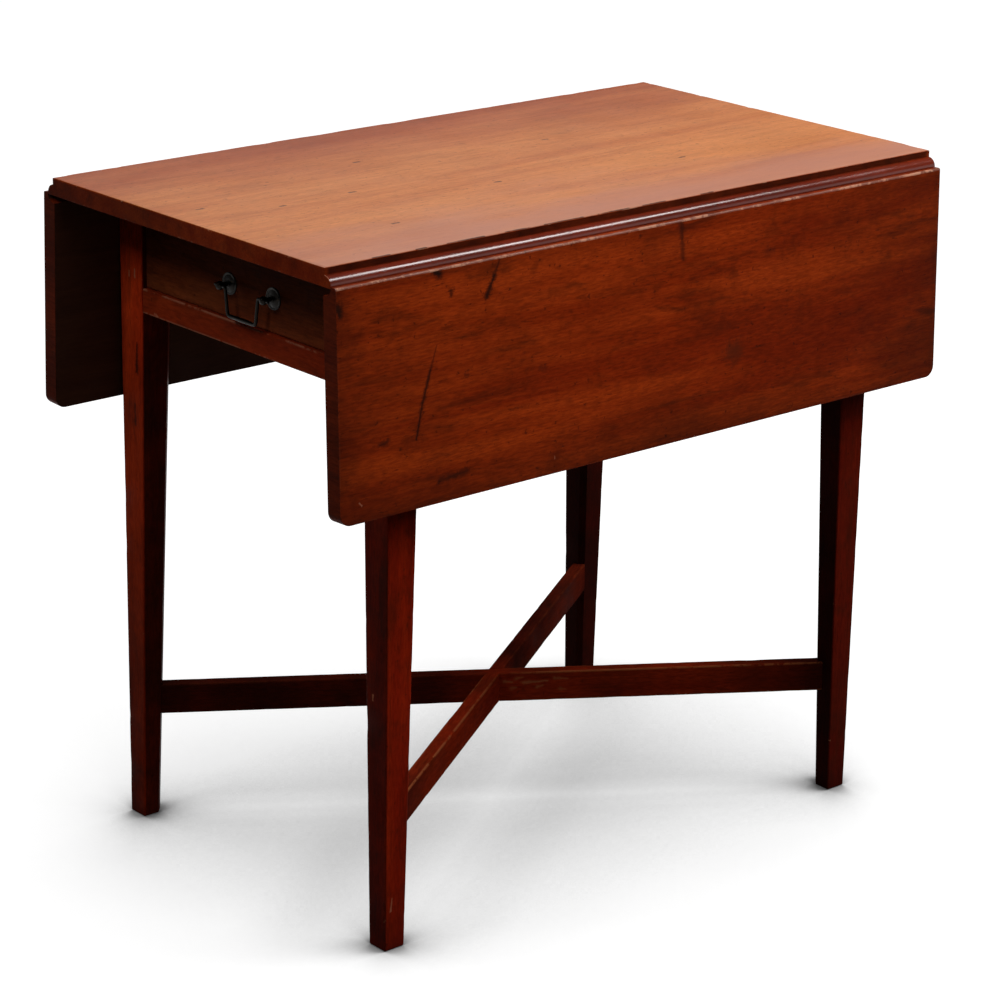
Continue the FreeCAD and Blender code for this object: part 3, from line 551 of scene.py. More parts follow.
def wear_down(bm, depth, shift, dirt):
    """Writes wear, and soot that stands for dirt and painted shade, on the points and knocks nicks of up to
    about a depth in the edges.
    """
    eased = bm.faces.layers.float["eased"]
    wear = bm.verts.layers.float.new("wear")
    soot = bm.verts.layers.float.new("soot")
    bm.normal_update()
    for vertex in bm.verts:
        vertex[soot] = min(1, max(0, dirt(vertex.co)))
        strength = max(face[eased] for face in vertex.link_faces)
        if strength == 0:
            continue
        vertex[wear] = strength
        place = vertex.co + Vector((shift, shift, shift))
        dents = [max(0, noise.noise(place * scale) - limit) for scale, limit in dent_sizes]
        vertex.co -= vertex.normal * depth * strength * sum(dents)


def started():
    """An empty mesh that can remember which faces are eased edges."""
    bm = bmesh.new()
    bm.faces.layers.float.new("eased")
    return bm


def dressed(bm, name, body, slot, nodes, *materials):
    """Turns a finished mesh into a piece that rides on a body and stands for CAD nodes."""
    bmesh.ops.recalc_face_normals(bm, faces=bm.faces[:])
    eased = bm.faces.layers.float["eased"]
    for face in bm.faces:
        face.smooth = True
    for edge in bm.edges:
        same = len({face[eased] > 0 for face in edge.link_faces}) == 1
        edge.smooth = same and edge.calc_face_angle(0) < sharp_angle
    bm.faces.layers.float.remove(eased)
    piece = as_object(bm, name, *materials)
    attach(piece, body)
    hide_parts(*nodes)
    replaced.update(nodes)
    print("piece", name, "faces", len(piece.data.polygons), "for", *nodes)


# %% [markdown]
# The top is one wide board. Along both long edges it has a small step and a quarter round, which
# the leaf's hollow slides over when it is raised. The quarter round is spun from one vertex about
# the hinge line, so that it matches the CAD curve, and the outline is drawn for one side and
# mirrored.

# %% The top: outline and solid
hinge_x, _, hinge_z = joint["leaf_right_drop"]["pos_m"]
top_low, top_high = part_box("top_board")
half_length = top_high.y
ovolo_radius = top_high.x - hinge_x
ovolo_steps = 12
board_arris = 0.001
small_arris = 0.0005
edge_inset = 0.0024
board_spacing = 0.006

bm = started()
crown = bm.verts.new((hinge_x, -half_length, hinge_z + ovolo_radius))
turned = bmesh.ops.spin(bm, geom=[crown], cent=(hinge_x, -half_length, hinge_z), axis=(0, 1, 0),
                        angle=math.radians(90), steps=ovolo_steps)
ovolo_foot = only_verts(turned["geom_last"])[0]
pencil(bm, ovolo_foot, (top_high.x, -half_length, top_low.z), (0, -half_length, top_low.z))
pencil(bm, crown, (hinge_x, -half_length, top_high.z), (0, -half_length, top_high.z))
bmesh.ops.mirror(bm, geom=bm.verts[:] + bm.edges[:], axis="X", merge_dist=weld)
bmesh.ops.edgeloop_fill(bm, edges=bm.edges[:])
lengthen(bm, bm.faces[:], (0, 2 * half_length, 0))
upper_edges = [edge for edge in sharp_edges(bm)
               if min(vertex.co.z for vertex in edge.verts) > top_high.z - tiny]
ease(bm, upper_edges, board_arris, strength=1.0, segments=3)
lower_edges = [edge for edge in sharp_edges(bm)
               if max(vertex.co.z for vertex in edge.verts) < hinge_z + ovolo_radius + tiny]
ease(bm, lower_edges, small_arris, strength=0.3)
edge_lines(bm, edge_inset)
print("top outline solid, faces", len(bm.faces))

# %% [markdown]
# The hinges are let into the underside. A boolean could cut their beds, but it leaves awkward
# faces. Pressing is simpler: pairs of cuts a tenth of a millimetre apart are made round each bed,
# and the points between them are pushed up to the depth of the plate, or of the barrel.

# %% The top: hinge beds and wear
plates_low, plates_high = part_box("hinge_top_plates_right")
hinge_width = 0.038
hinge_room = 0.0004
wall_slant = 0.0001
plate_depth = 0.00185
hinge_places = [plates_low.y + hinge_width / 2, 0, plates_high.y - hinge_width / 2]
bed_half = hinge_width / 2 + hinge_room
barrel_reach = plates_high.x - hinge_x + hinge_room
barrel_top = plates_high.z + hinge_room


def cut_beds(bm, lines_x):
    """Pairs of cuts round the hinge beds, across the board and along it."""
    for place in hinge_places:
        for side in (-1, 1):
            for grow in (0, wall_slant):
                slice_at(bm, Vector((0, place + side * (bed_half + grow), 0)), Vector((0, 1, 0)))
    for x in lines_x:
        for grow in (0, wall_slant):
            slice_at(bm, Vector((x - math.copysign(grow, x), 0, 0)), Vector((1, 0, 0)))


def in_bed(vertex):
    """Whether a point lies between the ends of a hinge bed."""
    return any(abs(vertex.co.y - place) < bed_half + wall_slant / 2 for place in hinge_places)


slices(bm, 1, -half_length, half_length, board_spacing)
slices(bm, 0, -hinge_x, hinge_x, board_spacing)
cut_beds(bm, [side * x for side in (-1, 1)
              for x in (plates_low.x, hinge_x - barrel_reach, hinge_x + barrel_reach)])
for vertex in bm.verts:
    across = abs(vertex.co.x)
    if not in_bed(vertex) or vertex.co.z > hinge_z or across < plates_low.x - wall_slant / 2:
        continue
    level = top_low.z + plate_depth
    if across > hinge_x - barrel_reach - wall_slant / 2:
        level = barrel_top
    if across > hinge_x + barrel_reach + wall_slant / 2:
        level = hinge_z
    vertex.co.z = max(vertex.co.z, level)

top_nick = 0.0011
end_darkening, end_darkening_slope = 0.55, 1.2
wave_scale, wave_height, wave_drop, wave_border = 7, 0.00022, 0.0002, 0.004
moulding_index, underside_index, square_index = 1, 2, 3


def top_darkening(place):
    """Darker square ends, more towards the left, and painted shade on the step and in the mouldings; none
    on the upper face.
    """
    if place.z > top_high.z - board_arris:
        return 0
    if abs(place.y) > half_length - edge_inset:
        return end_darkening - end_darkening_slope * place.x
    # Painted shade on the step under the upper face.
    return float(abs(place.x) > hinge_x - 1e-4)


wear_down(bm, top_nick, 3.1, top_darkening)
for vertex in bm.verts:
    if vertex.co.z > top_high.z - tiny and abs(vertex.co.x) < hinge_x - wave_border:
        vertex.co.z += wave_height * noise.noise(vertex.co * wave_scale) - wave_drop
for face in bm.faces:
    centre = face.calc_center_median()
    if abs(centre.x) > hinge_x + tiny and abs(centre.y) < half_length - board_arris:
        face.material_index = moulding_index
    elif abs(face.normal.z) < 0.6:
        face.material_index = square_index
    if face.normal.z < -0.7:
        face.material_index = underside_index
print("top with beds, faces", len(bm.faces))

# %% [markdown]
# Sun and cleaning have taken the red out of the upper face, so it is orange. It is darker and
# redder towards the left and has a painted sheen, a pale bloom, on the right; it has small black
# flecks and chipped edges, and at the near corner pale marks that are chips and a painted highlight.
# The mouldings stayed dark and are polished by use; the step under the upper face is painted dark
# for shade, and the square ends darken towards the left. The underside was never varnished, and its
# oxidised colour is painted very dark for shade. One material with painted masks could cover the
# whole board, but one for each group of faces is easier to change.

# %% The top: finish
mark_black = (0.012, 0.006, 0.004)
mark_pale = (0.45, 0.15, 0.08)
dash = 0.0035
top_flecks = [((x, y - dash, top_high.z), (x, y + dash, top_high.z), 0.0020, 0.0030, 0.9)
              for x, y in ((-0.026, -0.369), (0.012, -0.297), (0.132, -0.252), (0.007, -0.206),
                           (-0.095, -0.120), (0.060, -0.060), (-0.060, 0.110), (0.090, 0.170))]
chip_x = hinge_x - 0.0006
edge_chips = [((chip_x, y, top_high.z), (chip_x, y + run, top_high.z), 0.0016, 0.0026, 0.85)
              for y, run in ((-0.352, 0.020), (-0.300, 0.012), (-0.262, 0.045), (-0.190, 0.030),
                             (-0.140, 0.050), (-0.070, 0.040), (-0.010, 0.030), (0.070, 0.016))]
# Pale marks at the near corner: chips and a painted highlight.
near_y = -half_length + 0.0005
near_corner = (hinge_x, near_y, top_high.z)
corner_chips_and_highlights = [(near_corner, (hinge_x - 0.012, near_y, top_high.z), 0.0045, 0.0025, 0.9),
                (near_corner, (hinge_x, near_y + 0.020, top_high.z), 0.0030, 0.0014, 0.8)]
# Darker and redder towards the left; the pale bloom on the right is a painted sheen.
top_tone_and_sheen = [(-0.02, -0.23, 0.80, (0.60, 0.34, 0.33), "MULTIPLY"),
             (0.08, 0.24, 0.75, (0.48, 0.20, 0.14), "MIX")]
top_material = varnished("faded_top", along_y, (0.66, 0.234, 0.070), (0.52, 0.151, 0.041), mottle=0.12,
                         specks=0.40, pores=0.50, smudge=0.14, fleck=0.09, smooth=0.34, rough=0.40,
                         amount=0.42, grime=0.0, specular=0.03, sides=top_tone_and_sheen,
                         marks=[(mark_black, top_flecks + edge_chips), (mark_pale, corner_chips_and_highlights)])
top_edge_material = varnished("top_edge", along_y, (0.34, 0.044, 0.008), (0.20, 0.018, 0.003), mottle=0.4,
                              specks=0.4, smudge=0.5, fleck=0.2, amount=0.44, grime=0.85, specular=0.006)
moulding_material = varnished("polished_moulding", along_y, (0.20, 0.020, 0.005), (0.10, 0.009, 0.003),
                              mottle=0.5, smooth=0.14, rough=0.22, amount=0.40, grime=0.0, specular=0.42)
# Unvarnished, oxidised underside, painted very dark for the shade it lies in.
shaded_inside_material = varnished("oxidised_inside", along_y, (0.080, 0.026, 0.011), (0.042, 0.013, 0.006),
                            mottle=0.4, smooth=0.62, rough=0.8, amount=0.3, grime=0.4, specular=0.05)
dressed(bm, "table_top", "frame", "varnished_wood", ["top_board"], top_material, moulding_material,
        shaded_inside_material, top_edge_material)

# %% [markdown]
# A leaf is drawn as if it were raised, level with the top, where its lip and hollow are easy to
# measure from the hinge line. It is then turned down to where it hangs. The outer corners are
# rounded in plan with a wide bevel of their upright edges before anything else is eased. The same
# board serves for both sides: on the left it is mirrored, and its nicks fall in other places. The
# ends are darker, because end grain drinks more varnish.

# %% The leaves
leaf_reach = 0.2295
leaf_corner = 0.012
leaf_arris = 0.0014
lip_round = 0.0022
rule_gap = 0.0006
cove_radius = ovolo_radius + rule_gap
leaf_turn = math.radians(joint["leaf_right_drop"]["range_deg"][1])
leaf_plate_end = hinge_x + 0.044
darkening_border = 0.06
near_end_shade = 0.40
far_end_shade = 0.80
lip_border = 0.03
outer_wear = 0.03
lip_skin = 0.001
joint_reach = 0.02
leaf_nick = 0.0013
leaf_inside_index, lip_index, end_index = 1, 2, 3


def leaf(name, side, shift, *materials):
    """One drop leaf, hung down; side is 1 on the right and -1 on the left."""
    bm = started()
    far = hinge_x + leaf_reach
    begin = math.asin(rule_gap / cove_radius)
    lip_foot = bm.verts.new((hinge_x + rule_gap, -half_length, hinge_z + cove_radius * math.cos(begin)))
    turned = bmesh.ops.spin(bm, geom=[lip_foot], cent=(hinge_x, -half_length, hinge_z), axis=(0, 1, 0),
                            angle=math.radians(90) - begin, steps=ovolo_steps)
    cove_foot = only_verts(turned["geom_last"])[0]
    last = pencil(bm, cove_foot, (hinge_x + cove_radius, -half_length, top_low.z),
                  (far, -half_length, top_low.z), (far, -half_length, top_high.z),
                  (hinge_x + rule_gap, -half_length, top_high.z))
    bmesh.ops.contextual_create(bm, geom=[last, lip_foot])
    bmesh.ops.edgeloop_fill(bm, edges=bm.edges[:])
    lengthen(bm, bm.faces[:], (0, 2 * half_length, 0))
    uprights = [edge for edge in sharp_edges(bm) if all(v.co.x > far - tiny for v in edge.verts)
                and rise(edge) > top_high.z - top_low.z - tiny]
    bmesh.ops.bevel(bm, geom=uprights, offset=leaf_corner, offset_type="OFFSET", affect="EDGES",
                    segments=8, profile=0.5, material=-1)
    lip = [edge for edge in sharp_edges(bm) if all(v.co.x < hinge_x + lip_skin for v in edge.verts)
           and all(v.co.z > top_high.z - tiny for v in edge.verts)]
    ease(bm, lip, lip_round, strength=1.0, segments=4)
    outer = [edge for edge in sharp_edges(bm) if all(v.co.x > hinge_x + lip_round for v in edge.verts)
             and max(v.co.x for v in edge.verts) > hinge_x + joint_reach and rise(edge) < tiny]
    ease(bm, outer, leaf_arris, outer_wear, segments=3)
    edge_lines(bm, edge_inset)
    slices(bm, 1, -half_length, half_length, board_spacing)
    slices(bm, 0, hinge_x + cove_radius, far, board_spacing)
    cut_beds(bm, [leaf_plate_end + wall_slant])
    for vertex in bm.verts:
        under_plate = vertex.co.x < leaf_plate_end + wall_slant / 2
        if in_bed(vertex) and under_plate and vertex.co.z < top_low.z + plate_depth:
            vertex.co.z = top_low.z + plate_depth

    # Darker towards the borders with dirt and painted shade, and along the leaf towards both ends, the far
    # end most: painted shade.
    def dirt(place):
        from_edge = min(far - place.x, half_length - abs(place.y), place.x - hinge_x + lip_border)
        along = place.y / half_length
        return max(far_end_shade * along, -near_end_shade * along, 1 - from_edge / darkening_border)

    wear_down(bm, leaf_nick, shift, dirt)
    eased = bm.faces.layers.float["eased"]
    for face in bm.faces:
        if face.normal.z < -0.7 and not face[eased]:
            face.material_index = leaf_inside_index
        elif face[eased] == 1:
            face.material_index = lip_index
        elif abs(face.normal.y) > 0.9:
            face.material_index = end_index
    hinge_line = Vector((hinge_x, 0, hinge_z))
    bmesh.ops.rotate(bm, verts=bm.verts[:], cent=hinge_line, matrix=Matrix.Rotation(leaf_turn, 3, "Y"))
    if side < 0:
        bmesh.ops.scale(bm, verts=bm.verts[:], vec=(-1, 1, 1))
    end = "right" if side > 0 else "left"
    dressed(bm, name, "leaf_" + end, "varnished_wood", ["leaf_" + end], *materials)


mark_brown = (0.10, 0.018, 0.006)
leaf_scars = [
    ((0.2424, -0.2905, 0.6274), (0.2431, -0.2985, 0.6050), 0.0012, 0.0030, 0.55),
    ((0.2431, -0.2985, 0.6050), (0.2443, -0.3095, 0.5720), 0.0030, 0.0038, 0.85),
    ((0.2443, -0.3095, 0.5720), (0.2454, -0.3165, 0.5410), 0.0038, 0.0022, 0.85),
    ((0.2400, -0.2120, 0.6980), (0.2405, -0.2185, 0.6840), 0.0020, 0.0042, 0.60),
    ((0.2405, -0.2185, 0.6840), (0.2410, -0.2281, 0.6657), 0.0042, 0.0075, 0.92),
    ((0.2399, 0.0269, 0.6977), (0.2412, 0.0294, 0.6625), 0.0070, 0.0050, 0.62),
    ((0.2398, -0.2940, 0.7000), (0.2398, -0.2870, 0.6960), 0.0070, 0.0085, 0.95),
    ((0.2405, -0.4070, 0.6830), (0.2405, -0.4050, 0.6750), 0.0095, 0.0060, 0.90),
    ((0.2407, -0.2725, 0.6770), (0.2407, -0.2720, 0.6730), 0.0050, 0.0036, 0.75),
    ((0.2453, -0.3610, 0.5435), (0.2453, -0.3520, 0.5455), 0.0036, 0.0060, 0.75),
    ((0.2470, -0.2900, 0.4940), (0.2470, -0.2550, 0.4975), 0.0050, 0.0062, 0.70),
    ((0.2436, -0.2560, 0.5930), (0.2436, -0.2520, 0.5920), 0.0045, 0.0040, 0.55),
    ((0.2440, -0.1610, 0.5825), (0.2440, -0.1560, 0.5820), 0.0045, 0.0060, 0.45),
    ((0.2416, 0.1500, 0.6500), (0.2416, 0.1580, 0.6506), 0.0090, 0.0070, 0.40),
]
leaf_stains = [((0.2450, 0.1010, 0.5532), (0.2450, 0.1050, 0.5535), 0.0190, 0.0190, 0.75)]
leaf_nicks = [
    ((0.2472, -0.3862, 0.4925), (0.2472, -0.3835, 0.4895), 0.0012, 0.0016, 0.8),
    ((0.2472, -0.1421, 0.4895), (0.2472, -0.1421, 0.4872), 0.0014, 0.0010, 0.8),
]
leaf_marks = [(mark_brown, leaf_stains), (mark_black, leaf_scars), (mark_pale, leaf_nicks)]
leaf_tones = {"pale": (0.50, 0.057, 0.007), "dark": (0.27, 0.022, 0.003), "mottle": 0.45, "specks": 0.6,
              "pores": 0.6, "smudge": 0.60, "fleck": 0.24, "smooth": 0.32, "rough": 0.44,
              "amount": 0.53, "grime": 0.65, "specular": 0.012}
leaf_material_right = varnished("leaf_right_varnish", along_y, marks=leaf_marks, **leaf_tones)
leaf_material_left = varnished("leaf_left_varnish", along_y, **leaf_tones)
# Pale pinkish lip: wear, and a painted highlight along its rounding.
lip_material = varnished("worn_lip", along_y, (0.34, 0.095, 0.050), (0.22, 0.050, 0.026), mottle=0.35,
                         smooth=0.30, rough=0.42, amount=0.50, grime=0.3, specular=0.25)
end_material = varnished("leaf_end_grain", along_x, (0.24, 0.030, 0.008), (0.13, 0.013, 0.004), mottle=0.5,
                         smudge=0.5, fleck=0.2, amount=0.40, grime=0.6, specular=0.005)
leaf("drop_leaf_right", 1, 7.7, leaf_material_right, shaded_inside_material, lip_material, end_material)
leaf("drop_leaf_left", -1, 12.9, leaf_material_left, shaded_inside_material, lip_material, end_material)

# %% [markdown]
# A leg is square as far as the rails reach and then tapers, but only on its two inner faces, so
# its outer corner stays plumb. That is one extrusion down to the rails and one to the floor, with
# the last face scaled towards the outer corner. The inner corner has a flat, which the stretcher
# meets squarely: a bevel of one segment makes it, and a vertex put in the edge below the rail tells
# the bevel where to run out. The other edges are eased, and the foot gets a wider easing where it
# has been dragged about. The inner faces are painted dark for shade, and each outer face has its
# own share of painted shade. Towards the floor the legs darken with dirt and, much more on the
# faces towards the table's ends, with painted shade. The legs' colours are lit and shaded copies
# of one wood: the left leg painted lightest, the near leg next, the two rear legs dark for shade.

# %% The legs
foot_size = 0.0248
leg_arris = 0.0012
foot_arris = 0.004
inner_flat = 0.006
flat_run_out = 0.012
apron_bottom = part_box("drawer_rail_lower")[0].z
leg_spacing = 0.008
dirt_and_shade_height = 0.56
splash_height = 0.07
splash_dirt = 0.8
low_dirt_and_shade_x, low_dirt_and_shade_y = 0.3, 1.1
leg_nick = 0.0012


def leg(name, node, shift, dull_x, dull_y, material):
    """One tapered leg; the two numbers after shift are the painted shade on its two outer faces."""
    low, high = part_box(node)
    size = high.x - low.x
    middle = (low + high) / 2
    corner = Vector((math.copysign(max(abs(low.x), abs(high.x)), middle.x),
                     math.copysign(max(abs(low.y), abs(high.y)), middle.y), 0))

    # Painted shade on the inner faces and each outer face; darker towards the floor with dirt and painted
    # shade; dirt splashed at the foot.
    def dirt(place):
        low_down = max(0, 1 - place.z / dirt_and_shade_height)
        inside_x = min(1, (abs(corner.x) - abs(place.x)) / edge_inset)
        inside_y = min(1, (abs(corner.y) - abs(place.y)) / edge_inset)
        return max(inside_x * inside_y, splash_dirt * (1 - place.z / splash_height),
                   (1 - inside_x) * (dull_x + low_dirt_and_shade_x * low_down),
                   (1 - inside_y) * (dull_y + low_dirt_and_shade_y * low_down))

    bm = started()
    bmesh.ops.create_grid(bm, x_segments=1, y_segments=1, size=size / 2)
    bmesh.ops.translate(bm, verts=bm.verts[:], vec=(middle.x, middle.y, high.z))
    lengthen(bm, bm.faces[:], (0, 0, apron_bottom - high.z))
    bmesh.ops.recalc_face_normals(bm, faces=bm.faces[:])
    bottom = min(bm.faces, key=lambda face: face.calc_center_median().z)
    foot_verts = lengthen(bm, [bottom], (0, 0, -apron_bottom))
    bmesh.ops.delete(bm, geom=[bottom], context="FACES_ONLY")
    share = foot_size / size
    bmesh.ops.scale(bm, vec=(share, share, 1), space=Matrix.Translation(-corner), verts=foot_verts)
    uprights = [edge for edge in sharp_edges(bm) if rise(edge) > size]
    tapered = [edge for edge in uprights if min(v.co.z for v in edge.verts) < tiny]
    inner = max(tapered, key=lambda edge: sum((v.co - corner).xy.length for v in edge.verts))
    knee = max(inner.verts, key=lambda vertex: vertex.co.z)
    run_out = bmesh.utils.edge_split(inner, knee, flat_run_out / apron_bottom)[1]
    below = [edge for edge in run_out.link_edges if knee not in edge.verts]
    ease(bm, below, inner_flat, strength=0.0, segments=1)
    outer = [edge for edge in sharp_edges(bm) if rise(edge) > size
             and any(min(abs(v.co.x - corner.x), abs(v.co.y - corner.y)) < tiny for v in edge.verts)]
    ease(bm, outer, leg_arris, strength=0.7)
    sole = [edge for edge in sharp_edges(bm) if all(v.co.z < tiny for v in edge.verts)]
    ease(bm, sole, foot_arris, strength=1.0, segments=3)
    edge_lines(bm, edge_inset)
    slices(bm, 2, 0, high.z, leg_spacing)
    wear_down(bm, leg_nick, shift, dirt)
    dressed(bm, name, "frame", "varnished_wood", [node], material)


leg_out_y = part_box("leg_front_right")[0].y
leg_out_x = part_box("leg_front_right")[1].x
near_nicks = [((0.2001, leg_out_y, 0.2700), (0.1996, leg_out_y, 0.2645), 0.0022, 0.0014, 0.8),
              ((leg_out_x, -0.3222, 0.0571), (leg_out_x, -0.3236, 0.0430), 0.0012, 0.0020, 0.7)]
left_nicks = [((-0.2047, leg_out_y, 0.6125), (-0.2046, leg_out_y, 0.6065), 0.0016, 0.0012, 0.8),
              ((-0.1947, leg_out_y, 0.6160), (-0.1945, leg_out_y, 0.6075), 0.0014, 0.0022, 0.8)]
left_scars = [((-0.1928, leg_out_y, 0.5380), (-0.1940, leg_out_y, 0.5060), 0.0014, 0.0050, 0.9),
              ((-0.1985, leg_out_y, 0.4700), (-0.1980, leg_out_y, 0.4480), 0.0022, 0.0034, 0.7)]
leg_tones = {"mottle": 0.55, "specks": 0.5, "pores": 0.5, "smudge": 0.55, "fleck": 0.20, "amount": 0.40,
             "grime": 0.85, "specular": 0.005}
# Lit and shaded copies of one wood: the left leg painted lightest, the near leg next, the rear legs dark
# for shade.
lit_near_leg_material = varnished("near_leg_varnish", along_z, (0.50, 0.034, 0.005), (0.29, 0.014, 0.003),
                              marks=[(mark_pale, near_nicks)], **leg_tones)
lit_left_leg_material = varnished("left_leg_varnish", along_z, (0.62, 0.054, 0.009), (0.38, 0.023, 0.004),
                              marks=[(mark_black, left_scars), (mark_pale, left_nicks)], **leg_tones)
shaded_rear_leg_material = varnished("dark_leg_varnish", along_z, (0.16, 0.011, 0.003), (0.10, 0.006, 0.002),
                              **leg_tones)
leg("near_leg", "leg_front_right", 1.3, 0.0, 0.80, lit_near_leg_material)
leg("left_leg", "leg_front_left", 4.9, 0.3, 0.0, lit_left_leg_material)
leg("right_leg", "leg_back_right", 8.2, 0.0, 0.4, shaded_rear_leg_material)
leg("far_leg", "leg_back_left", 11.6, 0.3, 0.4, shaded_rear_leg_material)

# %% [markdown]
# Rails and the drawer front are plain lengths of wood between the legs, so they start from a cube
# that is scaled to their box. Only the faces that hands and dusters reach have worn edges. Each one
# darkens towards the legs, and the drawer front, the rail over it and the rear rail are painted
# darker towards their upper edges, for the shade under the top. The drawer front stops a hair short
# of its box at both ends: the dovetails of the drawer sides then stand clear of it and show.

# %% The rails and the drawer front
leg_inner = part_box("leg_front_right")[0].x
rail_arris = 0.0007
front_arris = 0.0009
end_hair = 0.00015
rail_wear = 0.45
rail_end_darkening = 0.6


def cross_piece(name, node, body, reach, face_y, arris, depth, shift, shade, material):
    """A length of wood across the table; face_y tells the show face, shade the painted shade at its upper
    edge.
    """
    low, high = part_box(node)
    bm = started()
    block(bm, (2 * reach, high.y - low.y, high.z - low.z), (0, (low.y + high.y) / 2, (low.z + high.z) / 2))
    shown = high.y if face_y > 0 else low.y
    front = [edge for edge in sharp_edges(bm) if edge.calc_length() > reach
             and all(abs(v.co.y - shown) < tiny for v in edge.verts)]
    ease(bm, front, arris, rail_wear)
    edge_lines(bm, edge_inset)
    slices(bm, 0, -reach, reach, leg_spacing)
    slices(bm, 2, low.z, high.z, leg_spacing)

    # Darker towards the legs, and painted shade rising towards the upper edge.
    def dirt(place):
        at_end = rail_end_darkening - (reach - abs(place.x)) / darkening_border
        return max(at_end, shade * (place.z - low.z) / (high.z - low.z))

    wear_down(bm, depth, shift, dirt)
    dressed(bm, name, body, "varnished_wood", [node], material)


rail_nicks = [((-0.1620, leg_out_y, 0.5755), (-0.1555, leg_out_y, 0.5735), 0.0020, 0.0030, 0.9)]
rail_tones = {"specks": 0.5, "smudge": 0.5, "fleck": 0.2, "specular": 0.005}
rail_material = varnished("rail_varnish", along_x, (0.36, 0.044, 0.010), (0.21, 0.019, 0.005), mottle=0.45,
                          amount=0.55, grime=0.5, marks=[(mark_pale, rail_nicks)], **rail_tones)
front_material = varnished("drawer_front_varnish", along_x, (0.31, 0.070, 0.020), (0.17, 0.030, 0.009),
                           mottle=0.5, amount=0.40, grime=0.9, **rail_tones)
drawer_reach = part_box("drawer_front")[1].x - end_hair
for name, node, face_y, depth, shift, shade in (
        ("under_drawer_rail", "drawer_rail_lower", -1, 0.0009, 2.2, 0.0),
        ("over_drawer_rail", "drawer_rail_upper", -1, 0.0006, 5.4, 1.0),
        ("rear_rail", "back_rail", 1, 0.0007, 9.3, 0.3)):
    cross_piece(name, node, "frame", leg_inner, face_y, rail_arris, depth, shift, shade, rail_material)
# The drawer front is painted darker towards its upper edge for the shade under the top.
cross_piece("drawer_face", "drawer_front", "drawer", drawer_reach, -1, front_arris, 0.0007, 6.5, 0.9,
            front_material)

# %% [markdown]
# The stretchers run from leg to leg on the two diagonals and are halved over each other where they
# cross. Each bar is made straight along X, where it is easy to cut, and swung on to its diagonal
# at the end. The halving is pressed, like the hinge beds: slanting cuts mark the sides of the other
# bar, and the points between them go to half the height. Feet have scuffed the upper bar beside the
# crossing; both bars are darker towards the legs, and their left halves are darker and less rubbed.

# %% The stretchers
bar_low, bar_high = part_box("stretcher_over")
bar_thickness = 0.015
bar_arris = 0.0012
bar_spacing = 0.008
bar_wear = 0.6
left_half_wear = 0.1
left_half_darkening = 0.85
bar_nick = 0.0011
leg_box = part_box("leg_back_right")
share_down = (bar_low.z + bar_high.z) / 2 / apron_bottom
leg_there = foot_size + (leg_box[1].x - leg_box[0].x - foot_size) * share_down
leg_middle = Vector((leg_box[1].x - leg_there / 2, leg_box[1].y - leg_there / 2, 0))
bar_reach = leg_middle.length
bar_turn = math.atan2(leg_middle.y, leg_middle.x)


def stretcher(name, node, turn, keeps_top, shift, material):
    """One bar on a diagonal, halved at the middle."""
    bm = started()
    middle_z = (bar_low.z + bar_high.z) / 2
    block(bm, (2 * bar_reach, bar_thickness, bar_high.z - bar_low.z), (0, 0, middle_z))
    long_edges = [edge for edge in sharp_edges(bm) if edge.calc_length() > bar_reach]
    ease(bm, long_edges, bar_arris, bar_wear)
    edge_lines(bm, edge_inset)
    slices(bm, 0, -bar_reach, bar_reach, bar_spacing)
    for share in (0.25, 0.5, 0.75):
        slice_at(bm, Vector((0, 0, bar_low.z + (bar_high.z - bar_low.z) * share)), Vector((0, 0, 1)))
    slice_at(bm, Vector((0, 0, 0)), Vector((0, 1, 0)))
    other = Matrix.Rotation(-2 * turn, 3, "Z") @ Vector((1, 0, 0))
    across = Vector((-other.y, other.x, 0))
    half = bar_thickness / 2 + wall_slant
    for side in (-1, 1):
        for grow in (0, wall_slant):
            slice_at(bm, across * side * (half + grow), across)

    def dirt(place):
        at_leg = 1 - (bar_reach - abs(place.x)) / (2 * darkening_border)
        return max(at_leg, left_half_darkening * min(1, -place.x / darkening_border))

    wear_down(bm, bar_nick, shift, dirt)
    wear = bm.verts.layers.float["wear"]
    for vertex in bm.verts:
        vertex[wear] *= min(1, max(left_half_wear, vertex.co.x / darkening_border))
        inside = abs(vertex.co.dot(across)) < half + wall_slant / 2
        if inside and keeps_top:
            vertex.co.z = max(vertex.co.z, middle_z + wall_slant / 2)
        elif inside:
            vertex.co.z = min(vertex.co.z, middle_z - wall_slant / 2)
    bmesh.ops.rotate(bm, verts=bm.verts[:], cent=(0, 0, 0), matrix=Matrix.Rotation(turn, 3, "Z"))
    dressed(bm, name, "frame", "varnished_wood", [node], material)


bar_along = Vector((math.cos(bar_turn), math.sin(bar_turn), 0))
bar_side = Vector((math.sin(bar_turn), -math.cos(bar_turn), 0)) * bar_thickness / 2
mark_worn = (0.34, 0.11, 0.045)
scuffs = []
for along, height, end_along, end_height, strength in (
        (0.010, 0.1405, 0.019, 0.1395, 0.50), (0.023, 0.1435, 0.031, 0.1450, 0.40),
        (0.031, 0.1385, 0.058, 0.1400, 0.60), (0.018, 0.1325, 0.024, 0.1330, 0.35),
        (0.047, 0.1330, 0.053, 0.1350, 0.45), (0.066, 0.1430, 0.081, 0.1415, 0.40),
        (0.072, 0.1300, 0.078, 0.1290, 0.30)):
    begin = bar_along * along + bar_side + Vector((0, 0, height))
    finish = bar_along * end_along + bar_side + Vector((0, 0, end_height))
    scuffs.append((tuple(begin), tuple(finish), 0.0034, 0.0016, strength))
